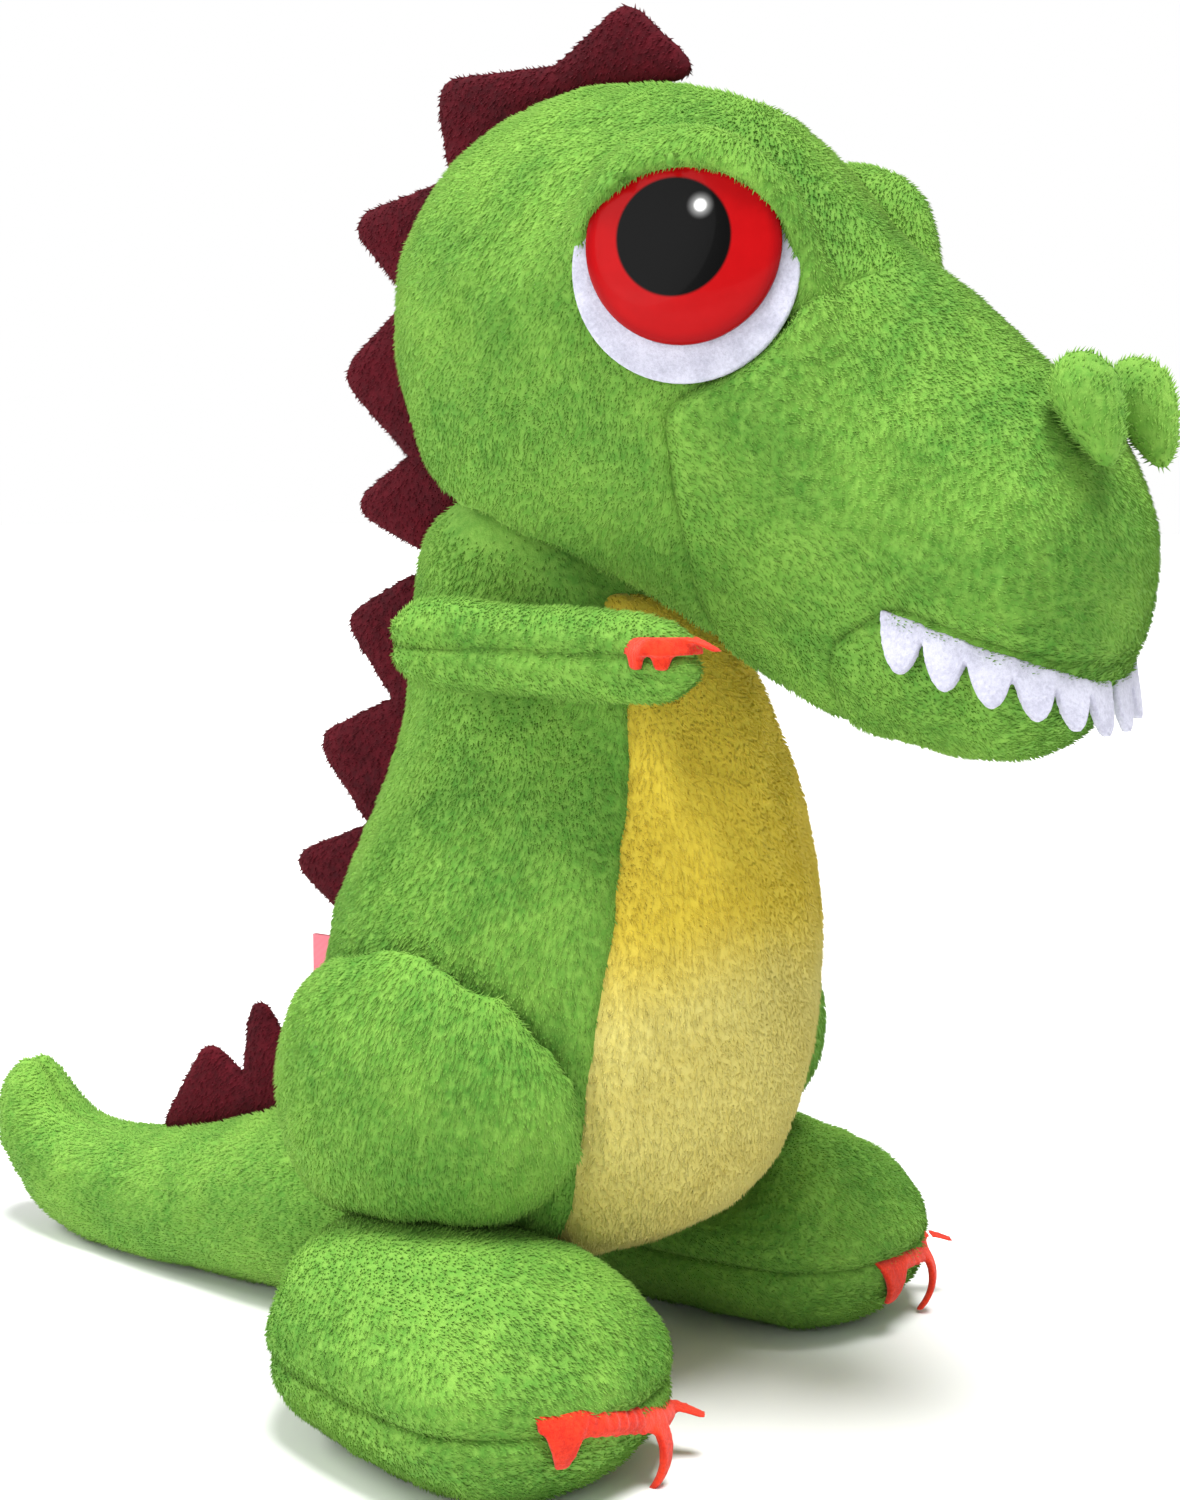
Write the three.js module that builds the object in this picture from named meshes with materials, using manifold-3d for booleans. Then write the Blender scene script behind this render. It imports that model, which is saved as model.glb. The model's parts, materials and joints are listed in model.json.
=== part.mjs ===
// A stuffed plush dinosaur that stands on two big feet and rests on its tail.
// Millimetres, +Z up. It faces -Y, its right side is at -X, and the floor under its soles is Z = 0.
// Every plush part is a set of sewn panels round a core of stuffing, with a small gap between them.

import * as THREE from 'three';
import { mergeVertices } from 'three/addons/utils/BufferGeometryUtils.js';
import Module from 'manifold-3d';

const wasm = await Module();
wasm.setup();

// ---- driving dimensions ---------------------------------------------------------------------------

const HEIGHT = 215; // floor to the tip of the first crest spike
const MIDDLE_Y = 21.4; // half way from the snout to the tail's end
const PANEL = 2.0; // plush fabric with its pile pressed down
const GAP = 0.4; // left between pieces that touch
const CORE_GAP = 1.7; // left between a panel and the stuffing inside it
const SEAM = 0.5; // width of the cut between two panels
const FELT = 1.2; // felt of the claws, teeth and eye whites
const CREST_THICK = 3.4; // short plush folded over itself
const NEEDLE = 0.03; // corners nearer than this are one corner
const CAP = 0.01; // and a triangle flatter than this is a mistake of the cutting

const FOOT = { x: 40.5, y: -6 }; // middle of each foot
const TOE_OUT = { right: 14, left: 2 }; // degrees, as it stands
const ARM_X = 31.5; // middle of each sleeve from the centre plane
const THIGH_X = 34;
const EYE_PLACE = { x: 26.3, y: -34.5, z: 173 }; // middle of the felt white's back face
const EYE_YAW = 70; // degrees from straight ahead to the way the eye looks
const EYE_PITCH = 3;
const EYE_WHITE_R = 16.4;
const EYE_DISC_R = 13.3;
const EYE_DISC_RISE = 2.2; // the disc sits this far above the middle of the white
const SHANK_R = 2.6;
const WASHER_SINK = 3.2; // the washer's face below the inside of the panel, in the stuffing
const NOSTRIL_X = 9.5;

// Where each soft part bends, and how far: degrees about +X, where a plus sends the front down.
const NECK = { y: 9, z: 134, back: -8, down: 9 };
const SHOULDER = { y: 8, z: 118.5, raised: -6, lowered: 32 };
// The tail swings from side to side about +Z.
const TAIL_ROOT = { y: 42, swing: 14 };

// ---- helpers --------------------------------------------------------------------------------------

// Axes of an outline drawn in side view (Y across, Z up) and pulled along +X.
const SIDE_VIEW = new THREE.Matrix4().makeBasis(
  new THREE.Vector3(0, 1, 0),
  new THREE.Vector3(0, 0, 1),
  new THREE.Vector3(1, 0, 0),
);
// Axes of an outline drawn in front view (X across, Z up) and pulled along -Y.
const FRONT_VIEW = new THREE.Matrix4().makeBasis(
  new THREE.Vector3(1, 0, 0),
  new THREE.Vector3(0, 0, 1),
  new THREE.Vector3(0, -1, 0),
);
const MIRROR_X = new THREE.Matrix4().makeScale(-1, 1, 1);

// A closed three.js geometry as a solid that can be joined and cut.
function solidOf(geometry) {
  const bare = geometry.clone();
  bare.deleteAttribute('normal');
  bare.deleteAttribute('uv');
  const merged = mergeVertices(bare, 1e-4);
  const vertProperties = new Float32Array(merged.attributes.position.array);
  const triVerts = new Uint32Array(merged.index.array);
  return new wasm.Manifold(new wasm.Mesh({ numProp: 3, vertProperties, triVerts }));
}

function geometryOf(solid) {
  const { vertProperties, triVerts } = solid.getMesh();
  const geometry = new THREE.BufferGeometry();
  geometry.setAttribute('position', new THREE.BufferAttribute(vertProperties, 3));
  geometry.setIndex(new THREE.BufferAttribute(triVerts, 1));
  geometry.computeVertexNormals();
  return geometry;
}

// Cutting leaves needle triangles where two faceted surfaces cross. Corners nearer than NEEDLE
// become one corner, and the triangles that this closes up are dropped.
function withoutNeedles(solid) {
  const geometry = geometryOf(solid);
  const place = geometry.attributes.position;
  const point = (_, i) => new THREE.Vector3().fromBufferAttribute(place, i);
  const points = Array.from({ length: place.count }, point);
  const twins = points.map((point) => points.findIndex((other) => other.distanceTo(point) < NEEDLE));
  const corners = Array.from(geometry.index.array).map((i) => twins[twins[i]]);
  const triangles = [];
  for (let i = 0; i < corners.length; i += 3) {
    const [a, b, c] = corners.slice(i, i + 3);
    if (a !== b && b !== c && c !== a) {
      triangles.push([a, b, c]);
    }
  }
  geometry.setIndex(withoutCaps(triangles, place).flat());
  return geometry;
}

// A cap is a triangle with one corner almost on its opposite side. That side is drawn instead from the
// corner across the neighbouring triangle, so that neither of the two is flat.
function withoutCaps(triangles, place) {
  const at = (i) => new THREE.Vector3().fromBufferAttribute(place, i);
  const sides = new Map();
  triangles.forEach(([a, b, c], i) => {
    sides.set(`${a},${b}`, i).set(`${b},${c}`, i).set(`${c},${a}`, i);
  });
  const changed = new Set();
  triangles.forEach((triangle, i) => {
    for (let turn = 0; turn < 3 && !changed.has(i); turn += 1) {
      const [a, b, c] = [0, 1, 2].map((k) => triangle[(k + turn) % 3]);
      const side = new THREE.Line3(at(a), at(b));
      const nearest = side.closestPointToPoint(at(c), true, new THREE.Vector3());
      const next = sides.get(`${b},${a}`);
      if (nearest.distanceTo(at(c)) < CAP && !changed.has(next)) {
        const d = triangles[next].find((corner) => corner !== a && corner !== b);
        triangles[i] = [a, d, c];
        triangles[next] = [d, b, c];
        changed.add(i).add(next);
      }
    }
  });
  return triangles;
}

function moved(solid, matrix) {
  const geometry = geometryOf(solid);
  geometry.applyMatrix4(matrix);
  if (matrix.determinant() < 0) {
    geometry.setIndex(Array.from(geometry.index.array).reverse());
  }
  return solidOf(geometry);
}

// A turn about an axis through a point.
function turnAbout(point, axis, degrees) {
  const there = new THREE.Matrix4().makeTranslation(point.x, point.y, point.z);
  const turn = new THREE.Matrix4().makeRotationAxis(axis, THREE.MathUtils.degToRad(degrees));
  const back = new THREE.Matrix4().makeTranslation(-point.x, -point.y, -point.z);
  return there.multiply(turn).multiply(back);
}

// Everything that a solid covers while it turns through the listed angles.
function sweptBy(solid, point, axis, angles) {
  return angles.map((angle) => moved(solid, turnAbout(point, axis, angle))).reduce((a, b) => a.add(b));
}

function evenly(from, to, count) {
  return Array.from({ length: count }, (_, i) => from + ((to - from) * i) / (count - 1));
}

function prism(points, view, from, to) {
  const shape = new THREE.Shape(points.map(([a, b]) => new THREE.Vector2(a, b)));
  const geometry = new THREE.ExtrudeGeometry(shape, { depth: to - from, bevelEnabled: false });
  geometry.translate(0, 0, from);
  geometry.applyMatrix4(view);
  return solidOf(geometry);
}

// A stuffed form: oval sections strung on a spine in the YZ plane and closed round at both ends.
// A station is [y, z, half width along X, half depth across the spine]; inset shrinks the whole form,
// and fine is the share of the form's own sides and rows that it is built with.
function stuffed({ stations, ends, grid }, inset = 0, x = 0, fine = 1) {
  const spine = new THREE.CatmullRomCurve3(stations.map(([y, z]) => new THREE.Vector3(x, y, z)));
  const sizes = new THREE.CatmullRomCurve3(stations.map(([, , w, d]) => new THREE.Vector3(w, d, 0)));
  const form = new THREE.SphereGeometry(1, 2 * Math.round((grid[0] * fine) / 2), Math.round(grid[1] * fine));
  const place = form.attributes.position;
  const vertex = new THREE.Vector3();
  for (let i = 0; i < place.count; i += 1) {
    vertex.fromBufferAttribute(place, i);
    const along = THREE.MathUtils.clamp((1 - vertex.y) / 2, 0, 1);
    const ring = Math.hypot(vertex.x, vertex.z);
    const closing = endRounding(along, ends[0]) * endRounding(1 - along, ends[1]);
    const size = sizes.getPoint(along);
    const tangent = spine.getTangent(along);
    const across = closing * Math.max(size.x - inset, 0.2) * (vertex.x / (ring || 1));
    const deep = closing * Math.max(size.y - inset, 0.2) * (vertex.z / (ring || 1));
    const at = spine.getPoint(along).addScaledVector(tangent, inset * vertex.y);
    place.setXYZ(i, at.x + across, at.y + tangent.z * deep, at.z - tangent.y * deep);
  }
  return solidOf(form);
}

function endRounding(along, share) {
  return along >= share ? 1 : Math.sqrt(Math.max(0, 1 - ((share - along) / share) ** 2));
}

// ---- materials ------------------------------------------------------------------------------------

function plush(color) {
  return new THREE.MeshStandardMaterial({ color, roughness: 0.95, metalness: 0 });
}

const greenPlush = plush(0x78bf3f);
const yellowPlush = plush(0xe0ca5a);
const crestPlush = plush(0x7c1530);
const whiteFelt = plush(0xe6e6f0);
const orangeFelt = plush(0xe04a26);
const fibreFill = plush(0xf4f2ec);
const labelRibbon = plush(0xd8707c);
const pelletCloth = plush(0xd9d4c4);
const redPlastic = new THREE.MeshStandardMaterial({ color: 0xc42026, roughness: 0.15, metalness: 0 });
const clearPlastic = new THREE.MeshStandardMaterial({ color: 0xe8e8e8, roughness: 0.4, metalness: 0 });

const dinosaur = new THREE.Group();

function addPiece(name, solid, material) {
  const geometry = geometryOf(solidOf(withoutNeedles(solid)));
  const mesh = new THREE.Mesh(geometry, material.clone());
  mesh.name = name;
  dinosaur.add(mesh);
}

// A piece modelled on the right side, and its mirror image on the left.
function addPair(name, solid, material) {
  addPiece(`${name}_right`, solid, material);
  addPiece(`${name}_left`, moved(solid, MIRROR_X), material);
}

// ---- the stuffed volumes --------------------------------------------------------------------------

const TORSO = {
  stations: [
    [9, 17.5, 34, 30],
    [8, 33, 39, 36],
    [5.5, 49, 42.5, 40.5],
    [3, 65, 42, 41],
    [0.5, 80.5, 38.5, 39],
    [0.5, 96.5, 32, 34],
    [4, 112.5, 25.5, 28],
    [9, 129, 21.5, 23],
    [11, 145, 19.5, 20],
  ],
  ends: [0.14, 0.12],
  grid: [22, 14],
};

// Head stations as [y, top, bottom, half width], from the back of the skull to the snout.
const HEAD_LINES = [
  [31.5, 188, 135, 23],
  [19, 195.5, 131, 27],
  [6.5, 203.5, 125, 30],
  [-6, 205.5, 122, 31.5],
  [-18.5, 203, 119, 31],
  [-31, 196, 115, 29],
  [-44, 183.5, 110.5, 26],
  [-57, 169.5, 105, 24.5],
  [-70, 162, 101, 24],
  [-83, 156, 102, 23.5],
  [-96, 146, 112, 19.5],
];
const HEAD = {
  stations: HEAD_LINES.map(([y, top, low, half]) => [y, (top + low) / 2, half, (top - low) / 2]),
  ends: [0.13, 0.1],
  grid: [24, 18],
};

const THIGH = {
  stations: [
    [4, 26, 14, 21],
    [5, 39, 17, 27],
    [5, 52, 18, 29],
    [3.5, 65, 16, 26],
    [2, 78, 12, 18],
  ],
  ends: [0.3, 0.3],
  grid: [14, 8],
};

// Foot stations as [y, top, bottom, half width] about the middle of the foot.
const FOOT_LINES = [
  [32.5, 28, -1, 20],
  [19.5, 33, -3, 23],
  [6.5, 34, -3.5, 24],
  [-6.5, 32.5, -3.5, 24],
  [-19.5, 30.5, -2.5, 23],
  [-32, 27, 2, 20],
];
const FOOT_FORM = {
  stations: FOOT_LINES.map(([y, top, low, half]) => [y, (top + low) / 2, half, (top - low) / 2]),
  ends: [0.26, 0.24],
  grid: [18, 10],
};

const ARM = {
  stations: [
    [15, 119, 5.5, 6.5],
    [4, 119, 6.8, 7.8],
    [-8, 118.5, 6.6, 6.8],
    [-19, 118.5, 6.4, 7.2],
    [-31, 118, 5.8, 7.2],
    [-42, 117.5, 4.6, 5.2],
  ],
  ends: [0.14, 0.12],
  grid: [12, 9],
};

const TAIL = {
  stations: [
    [28, 19, 18, 19],
    [47, 18.5, 18.5, 18.6],
    [66, 15.6, 17, 16],
    [84, 11.8, 14.8, 14],
    [101, 9.8, 12.8, 12.8],
    [117, 10, 11.2, 11.6],
    [128.5, 16.5, 9.4, 9.2],
    [132, 25, 7.6, 7.4],
    [130.5, 33, 6, 5.6],
  ],
  ends: [0.12, 0.16],
  grid: [14, 13],
};

const X_AXIS = new THREE.Vector3(1, 0, 0);
const Z_AXIS = new THREE.Vector3(0, 0, 1);

const torsoVolume = (inset, fine = 1) => stuffed(TORSO, inset, 0, fine);

// The head is pressed flat under each eye, so its form is cut by a shallow round pocket.
function headVolume(inset, fine = 1) {
  const pocket = eyePocket(-FELT - GAP - inset, EYE_WHITE_R + 1.2 + inset);
  return stuffed(HEAD, inset, 0, fine).subtract(pocket).subtract(moved(pocket, MIRROR_X));
}

// Eye axes: local +Z is the way the right eye looks, from the middle of its white's front face.
function eyeFrame() {
  const yaw = THREE.MathUtils.degToRad(EYE_YAW);
  const pitch = THREE.MathUtils.degToRad(EYE_PITCH);
  const look = new THREE.Vector3(
    -Math.sin(yaw) * Math.cos(pitch),
    -Math.cos(yaw) * Math.cos(pitch),
    Math.sin(pitch),
  );
  const side = new THREE.Vector3().crossVectors(Z_AXIS, look).normalize();
  const up = new THREE.Vector3().crossVectors(look, side);
  const frame = new THREE.Matrix4().makeBasis(side, up, look);
  return frame.setPosition(-EYE_PLACE.x, EYE_PLACE.y, EYE_PLACE.z);
}

// A turned profile of [radius, height] points on the right eye's axis.
function turnedOnEye(profile, sides) {
  const outline = profile.map(([radius, height]) => new THREE.Vector2(radius, height));
  const geometry = new THREE.LatheGeometry(outline, sides);
  geometry.applyMatrix4(new THREE.Matrix4().makeRotationX(Math.PI / 2));
  geometry.applyMatrix4(eyeFrame());
  return solidOf(geometry);
}

function eyePocket(floor, radius) {
  return turnedOnEye([[0, floor], [radius, floor], [radius, 30], [0, 30]], 20);
}

// side is -1 on the right and 1 on the left.
function footPlace(side) {
  const toeOut = side < 0 ? -TOE_OUT.right : TOE_OUT.left;
  const turn = new THREE.Matrix4().makeRotationZ(THREE.MathUtils.degToRad(toeOut));
  return new THREE.Matrix4().makeTranslation(side * FOOT.x, FOOT.y, 0).multiply(turn);
}

function belowLevel(z) {
  return prism([[-90, -90], [90, -90], [90, 90], [-90, 90]], new THREE.Matrix4(), -30, z);
}

function footVolume(side, inset, fine = 1) {
  const grounded = stuffed(FOOT_FORM, inset, 0, fine).subtract(belowLevel(inset));
  return moved(grounded, footPlace(side));
}

const thighVolume = (inset, fine = 1) => stuffed(THIGH, inset, -THIGH_X, fine);
const armVolume = (inset, fine = 1) => stuffed(ARM, inset, -ARM_X, fine);

function tailVolume(inset, fine = 1) {
  const floor = prism([[-60, 0], [60, 0], [60, 200], [-60, 200]], new THREE.Matrix4(), -30, 0.6 + inset);
  return stuffed(TAIL, inset, 0, fine).subtract(floor);
}

const COARSE = 0.7; // share of the sides and rows used for stuffing and for room left free
const CLEAR = -1.3; // how far a neighbour stands off a volume that bends against it
const neckPoint = new THREE.Vector3(0, NECK.y, NECK.z);
const neckAngles = evenly(NECK.back, NECK.down, 4);
const shoulderPoint = new THREE.Vector3(0, SHOULDER.y, SHOULDER.z);
const shoulderAngles = evenly(SHOULDER.raised, SHOULDER.lowered, 5);
const tailPoint = new THREE.Vector3(0, TAIL_ROOT.y, 0);
const tailAngles = evenly(-TAIL_ROOT.swing, TAIL_ROOT.swing, 3);

// Space that each moving part has to leave free, seen from the moving part itself.
const torsoRoom = torsoVolume(CLEAR, COARSE);
const roomForTorsoInHead = sweptBy(torsoRoom, neckPoint, X_AXIS, neckAngles.map((angle) => -angle));
const roomForTorsoInArm = sweptBy(torsoRoom, shoulderPoint, X_AXIS, shoulderAngles.map((angle) => -angle));
const loweredHead = sweptBy(stuffed(HEAD, CLEAR, 0, COARSE), neckPoint, X_AXIS, [0, NECK.down]);
const roomForHeadInArm = sweptBy(loweredHead, shoulderPoint, X_AXIS, [-SHOULDER.raised, 0]);
const thighRoom = thighVolume(CLEAR, COARSE);
const hipsRoom = torsoRoom.add(thighRoom).add(moved(thighRoom, MIRROR_X));
const feetRoom = footVolume(-1, CLEAR, COARSE).add(footVolume(1, CLEAR, COARSE));
const standRoom = hipsRoom.add(feetRoom);
const roomForHipsInTail = sweptBy(standRoom, tailPoint, Z_AXIS, tailAngles);

// ---- torso ----------------------------------------------------------------------------------------

// Half outline of the yellow belly in front view, from the crotch up to under the chin.
const BELLY_EDGE = [
  [18, 13],
  [25, 24],
  [29.5, 38],
  [31, 53],
  [30, 68],
  [27.5, 80],
  [24.5, 91],
  [20, 103],
  [16, 114],
  [13.5, 127],
];

function bellyRegion(grow) {
  const right = BELLY_EDGE.map(([x, z]) => [-x - grow, z]);
  const left = BELLY_EDGE.map(([x, z]) => [x + grow, z]).reverse();
  return prism([...right, ...left, [0, 13 - grow]], FRONT_VIEW, -5, 80);
}

const PELLET_POUCH = {
  stations: [
    [7, 25, 10, 10],
    [7, 31, 22, 20],
    [7, 37, 22, 20],
    [7, 43, 10, 10],
  ],
  ends: [0.3, 0.3],
  grid: [12, 6],
};

function centreSlab(thick) {
  return prism([[-120, -20], [180, -20], [180, 260], [-120, 260]], SIDE_VIEW, -thick / 2, thick / 2);
}

function rightHalf() {
  return prism([[-120, -20], [180, -20], [180, 260], [-120, 260]], SIDE_VIEW, -120, -SEAM / 2);
}

function makeTorso() {
  const skin = torsoVolume(0).subtract(torsoVolume(PANEL));
  const flanks = skin.subtract(bellyRegion(SEAM));
  addPair('flank_panel', flanks.intersect(rightHalf()), greenPlush);
  addPiece('belly_panel', skin.intersect(bellyRegion(0)), yellowPlush);
  const pouchRoom = stuffed(PELLET_POUCH, -GAP);
  const well = prism([[-6, 1], [6, 1], [6, 13], [-6, 13]], new THREE.Matrix4(), 5, 34);
  addPiece('body_stuffing', torsoVolume(PANEL + CORE_GAP, COARSE).subtract(pouchRoom.add(well)), fibreFill);
  addPiece('pellet_pouch', stuffed(PELLET_POUCH), pelletCloth);
}

// ---- legs and feet --------------------------------------------------------------------------------

const TOE_SEAM_Z = 13; // height of the seam between a foot's upper and its sole

function makeThighs() {
  const keepOff = torsoVolume(-GAP).add(footVolume(-1, -GAP)).add(footVolume(1, -GAP));
  [['right', -1], ['left', 1]].forEach(([name, side]) => {
    const place = side < 0 ? new THREE.Matrix4() : MIRROR_X;
    const skin = moved(thighVolume(0).subtract(thighVolume(PANEL)), place);
    const core = moved(thighVolume(PANEL + CORE_GAP, COARSE), place);
    addPiece(`thigh_panel_${name}`, skin.subtract(keepOff), greenPlush);
    addPiece(`thigh_stuffing_${name}`, core.subtract(keepOff), fibreFill);
  });
}

function makeFeet() {
  const keepOff = torsoVolume(-GAP);
  [['right', -1], ['left', 1]].forEach(([name, side]) => {
    const skin = footVolume(side, 0).subtract(footVolume(side, PANEL)).subtract(keepOff);
    const core = footVolume(side, PANEL + CORE_GAP, COARSE).subtract(keepOff);
    addPiece(`foot_upper_${name}`, skin.subtract(belowLevel(TOE_SEAM_Z + SEAM)), greenPlush);
    addPiece(`foot_sole_${name}`, skin.intersect(belowLevel(TOE_SEAM_Z)), greenPlush);
    addPiece(`foot_stuffing_${name}`, core, fibreFill);
    addPiece(`foot_claws_${name}`, footClaws(side), orangeFelt);
  });
}

// A felt strip with three sharp claws: outline across the toes, claws forward, pulled up by the felt.
function clawOutline(width, reach, root) {
  const half = width / 2;
  const step = width / 6;
  const teeth = [];
  for (let claw = 0; claw < 3; claw += 1) {
    const left = -half + claw * 2 * step;
    teeth.push([left, 0], [left + step, -reach]);
  }
  return [...teeth, [half, 0], [half, root], [-half, root]];
}

function footClaws(side) {
  const flat = prism(clawOutline(25, 6.5, 5), new THREE.Matrix4(), 0, FELT);
  const toe = new THREE.Matrix4().makeTranslation(0, -32.5, TOE_SEAM_Z - FELT / 2);
  return moved(moved(flat, toe), footPlace(side)).subtract(footVolume(side, -GAP));
}

// ---- arms -----------------------------------------------------------------------------------------

const ARM_SEAM_Z = 118.5;

function makeArms() {
  const keepOff = roomForTorsoInArm.add(roomForHeadInArm);
  const skin = armVolume(0).subtract(armVolume(1.6)).subtract(keepOff);
  const below = prism([[-80, -80], [0, -80], [0, 60], [-80, 60]], new THREE.Matrix4(), 83, ARM_SEAM_Z);
  addPair('sleeve_top', skin.subtract(below).subtract(moved(below, liftBy(SEAM))), greenPlush);
  addPair('sleeve_underside', skin.intersect(below), greenPlush);
  addPair('arm_stuffing', armVolume(1.6 + CORE_GAP, COARSE).subtract(keepOff), fibreFill);
  addPair('hand_claws', handClaws().subtract(keepOff), orangeFelt);
}

function liftBy(z) {
  return new THREE.Matrix4().makeTranslation(0, 0, z);
}

// The hand's felt strip lies along the outer seam and points forward past the end of the sleeve.
function handClaws() {
  const outline = [
    [-6, -27],
    [-11.5, -28.5],
    [-7.5, -33],
    [-8.5, -38],
    [-5.5, -49],
    [-1.5, -43.5],
    [3.5, -48],
    [4, -38],
    [0, -30],
  ];
  const flat = prism(outline.reverse(), new THREE.Matrix4(), -FELT / 2, FELT / 2);
  const tilt = new THREE.Matrix4().makeRotationY(THREE.MathUtils.degToRad(30));
  const place = new THREE.Matrix4().makeTranslation(-ARM_X, 0, ARM_SEAM_Z).multiply(tilt);
  return moved(flat, place).subtract(armVolume(-GAP));
}

// ---- tail -----------------------------------------------------------------------------------------

function makeTail() {
  const skin = tailVolume(0).subtract(tailVolume(PANEL)).subtract(roomForHipsInTail);
  const half = skin.intersect(rightHalf());
  addPair('tail_panel', half, greenPlush);
  addPiece('tail_stuffing', tailVolume(PANEL + CORE_GAP, COARSE).subtract(roomForHipsInTail), fibreFill);
}

// ---- head -----------------------------------------------------------------------------------------

// Side-view outlines of the two sewn regions in front of the skull.
const MUZZLE_REGION = [[-22, 93], [-31, 121], [-32, 153], [-60, 175], [-66, 208], [-120, 208], [-120, 93]];
const JAW_REGION = [[-44, 93], [-54, 120], [-66, 126], [-97, 114.5], [-120, 114.5], [-120, 93]];

function sideRegion(points, grow) {
  const middle = points.reduce(([a, b], [y, z]) => [a + y / points.length, b + z / points.length], [0, 0]);
  const grown = points.map(([y, z]) => [y + Math.sign(y - middle[0]) * grow, z + Math.sign(z - middle[1]) * grow]);
  return prism(grown.reverse(), SIDE_VIEW, -70, 70);
}

function makeHead() {
  const shanks = shankHole().add(moved(shankHole(), MIRROR_X));
  const skin = headVolume(0).subtract(headVolume(PANEL)).subtract(roomForTorsoInHead).subtract(shanks);
  const muzzle = sideRegion(MUZZLE_REGION, 0);
  const jaw = sideRegion(JAW_REGION, 0);
  const skull = skin.subtract(sideRegion(MUZZLE_REGION, SEAM));
  addPair('skull_panel', skull.intersect(rightHalf()), greenPlush);
  addPiece('muzzle_panel', skin.intersect(muzzle).subtract(sideRegion(JAW_REGION, SEAM)), greenPlush);
  addPiece('jaw_panel', skin.intersect(jaw), greenPlush);
  const pocket = raisedOnEye([[0, -16], [9.5, -16], [9.5, 0], [0, 0]], 12);
  const pockets = pocket.add(moved(pocket, MIRROR_X));
  addPiece('head_stuffing', headVolume(PANEL + CORE_GAP, COARSE).subtract(roomForTorsoInHead).subtract(pockets), fibreFill);
}

// ---- eyes -----------------------------------------------------------------------------------------

// The plastic disc, its shank and its washer share an axis a little above the middle of the white.
function raisedOnEye(profile, sides) {
  return moved(turnedOnEye(profile, sides), new THREE.Matrix4().makeTranslation(0, 0, EYE_DISC_RISE));
}

function shankHole() {
  const radius = SHANK_R + GAP;
  return raisedOnEye([[0, -20], [radius, -20], [radius, 5], [0, 5]], 10);
}

function makeEyes() {
  const white = turnedOnEye([[0, -FELT], [EYE_WHITE_R, -FELT], [EYE_WHITE_R, 0], [0, 0]], 24);
  addPair('eye_white', white.subtract(shankHole()), whiteFelt);
  const rim = GAP + 0.9;
  const dome = evenly(0, Math.PI / 2, 4).map((t) => [EYE_DISC_R * Math.cos(t), rim + 2.4 * Math.sin(t)]);
  dome[dome.length - 1][0] = 0;
  const disc = [[0, -10], [SHANK_R, -10], [SHANK_R, GAP], [EYE_DISC_R, GAP], ...dome];
  addPair('eye_disc', raisedOnEye(disc, 24), redPlastic);
  const low = -FELT - PANEL - WASHER_SINK;
  const hole = SHANK_R + GAP;
  const washer = [[hole, low - 1.5], [7.5, low - 1.5], [7.5, low], [hole, low], [hole, low - 1.5]];
  addPair('eye_washer', raisedOnEye(washer, 12), clearPlastic);
}

// ---- nostrils -------------------------------------------------------------------------------------

// A gathered scrap of plush, round above and drawn to a point where it is stitched down.
const NOSTRIL = {
  stations: [
    [-94.5, 144, 1.8, 1.8],
    [-93, 149, 3.6, 3.4],
    [-90.5, 155, 5.4, 5],
    [-88, 160, 4.6, 4.4],
  ],
  ends: [0.3, 0.4],
  grid: [12, 8],
};

function makeNostrils() {
  addPair('nostril_tuft', stuffed(NOSTRIL, 0, -NOSTRIL_X).subtract(headVolume(-GAP)), greenPlush);
}

// ---- teeth ----------------------------------------------------------------------------------------

const LIP = { backY: -67, backZ: 125.5, frontY: -95.5, frontZ: 115 };
const TEETH = 6; // on each side
const TOOTH_ROOT = 1.2; // the strip reaches this far below the lip between two teeth
const TOOTH_TIP = 7.4; // and this far at the middle of one

// How far out the skin of the head is at a height, for one place along its length.
function headHalfWidth(y, z) {
  const sizes = new THREE.CatmullRomCurve3(HEAD_LINES.map(([, top, low, half]) => new THREE.Vector3(top, low, half)));
  const lengths = HEAD_LINES.map(([at]) => at);
  const along = (lengths[0] - y) / (lengths[0] - lengths[lengths.length - 1]);
  const { x: top, y: low, z: half } = sizes.getPoint(THREE.MathUtils.clamp(along, 0, 1));
  const closing = endRounding(1 - along, HEAD.ends[1]);
  const lift = (z - (top + low) / 2) / (((top - low) / 2) * closing || 1);
  return half * closing * Math.sqrt(Math.max(0, 1 - lift * lift));
}

function lipCurve(standOff) {
  const points = evenly(0, 1, 9).map((t) => {
    const y = THREE.MathUtils.lerp(LIP.backY, LIP.frontY + 1.4, Math.sin((t * Math.PI) / 2));
    const z = THREE.MathUtils.mapLinear(y, LIP.backY, LIP.frontY, LIP.backZ, LIP.frontZ);
    return new THREE.Vector3(-headHalfWidth(y, z) - standOff, y - standOff * t, z);
  });
  points[points.length - 1].setX(-0.6);
  return new THREE.CatmullRomCurve3(points);
}

// How far down the strip reaches, from 0 between two teeth to 1 at the middle of a tooth.
function toothReach(share) {
  const fromMiddle = Math.abs(2 * ((share * TEETH) % 1) - 1);
  return Math.sqrt(1 - fromMiddle ** 3);
}

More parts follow.
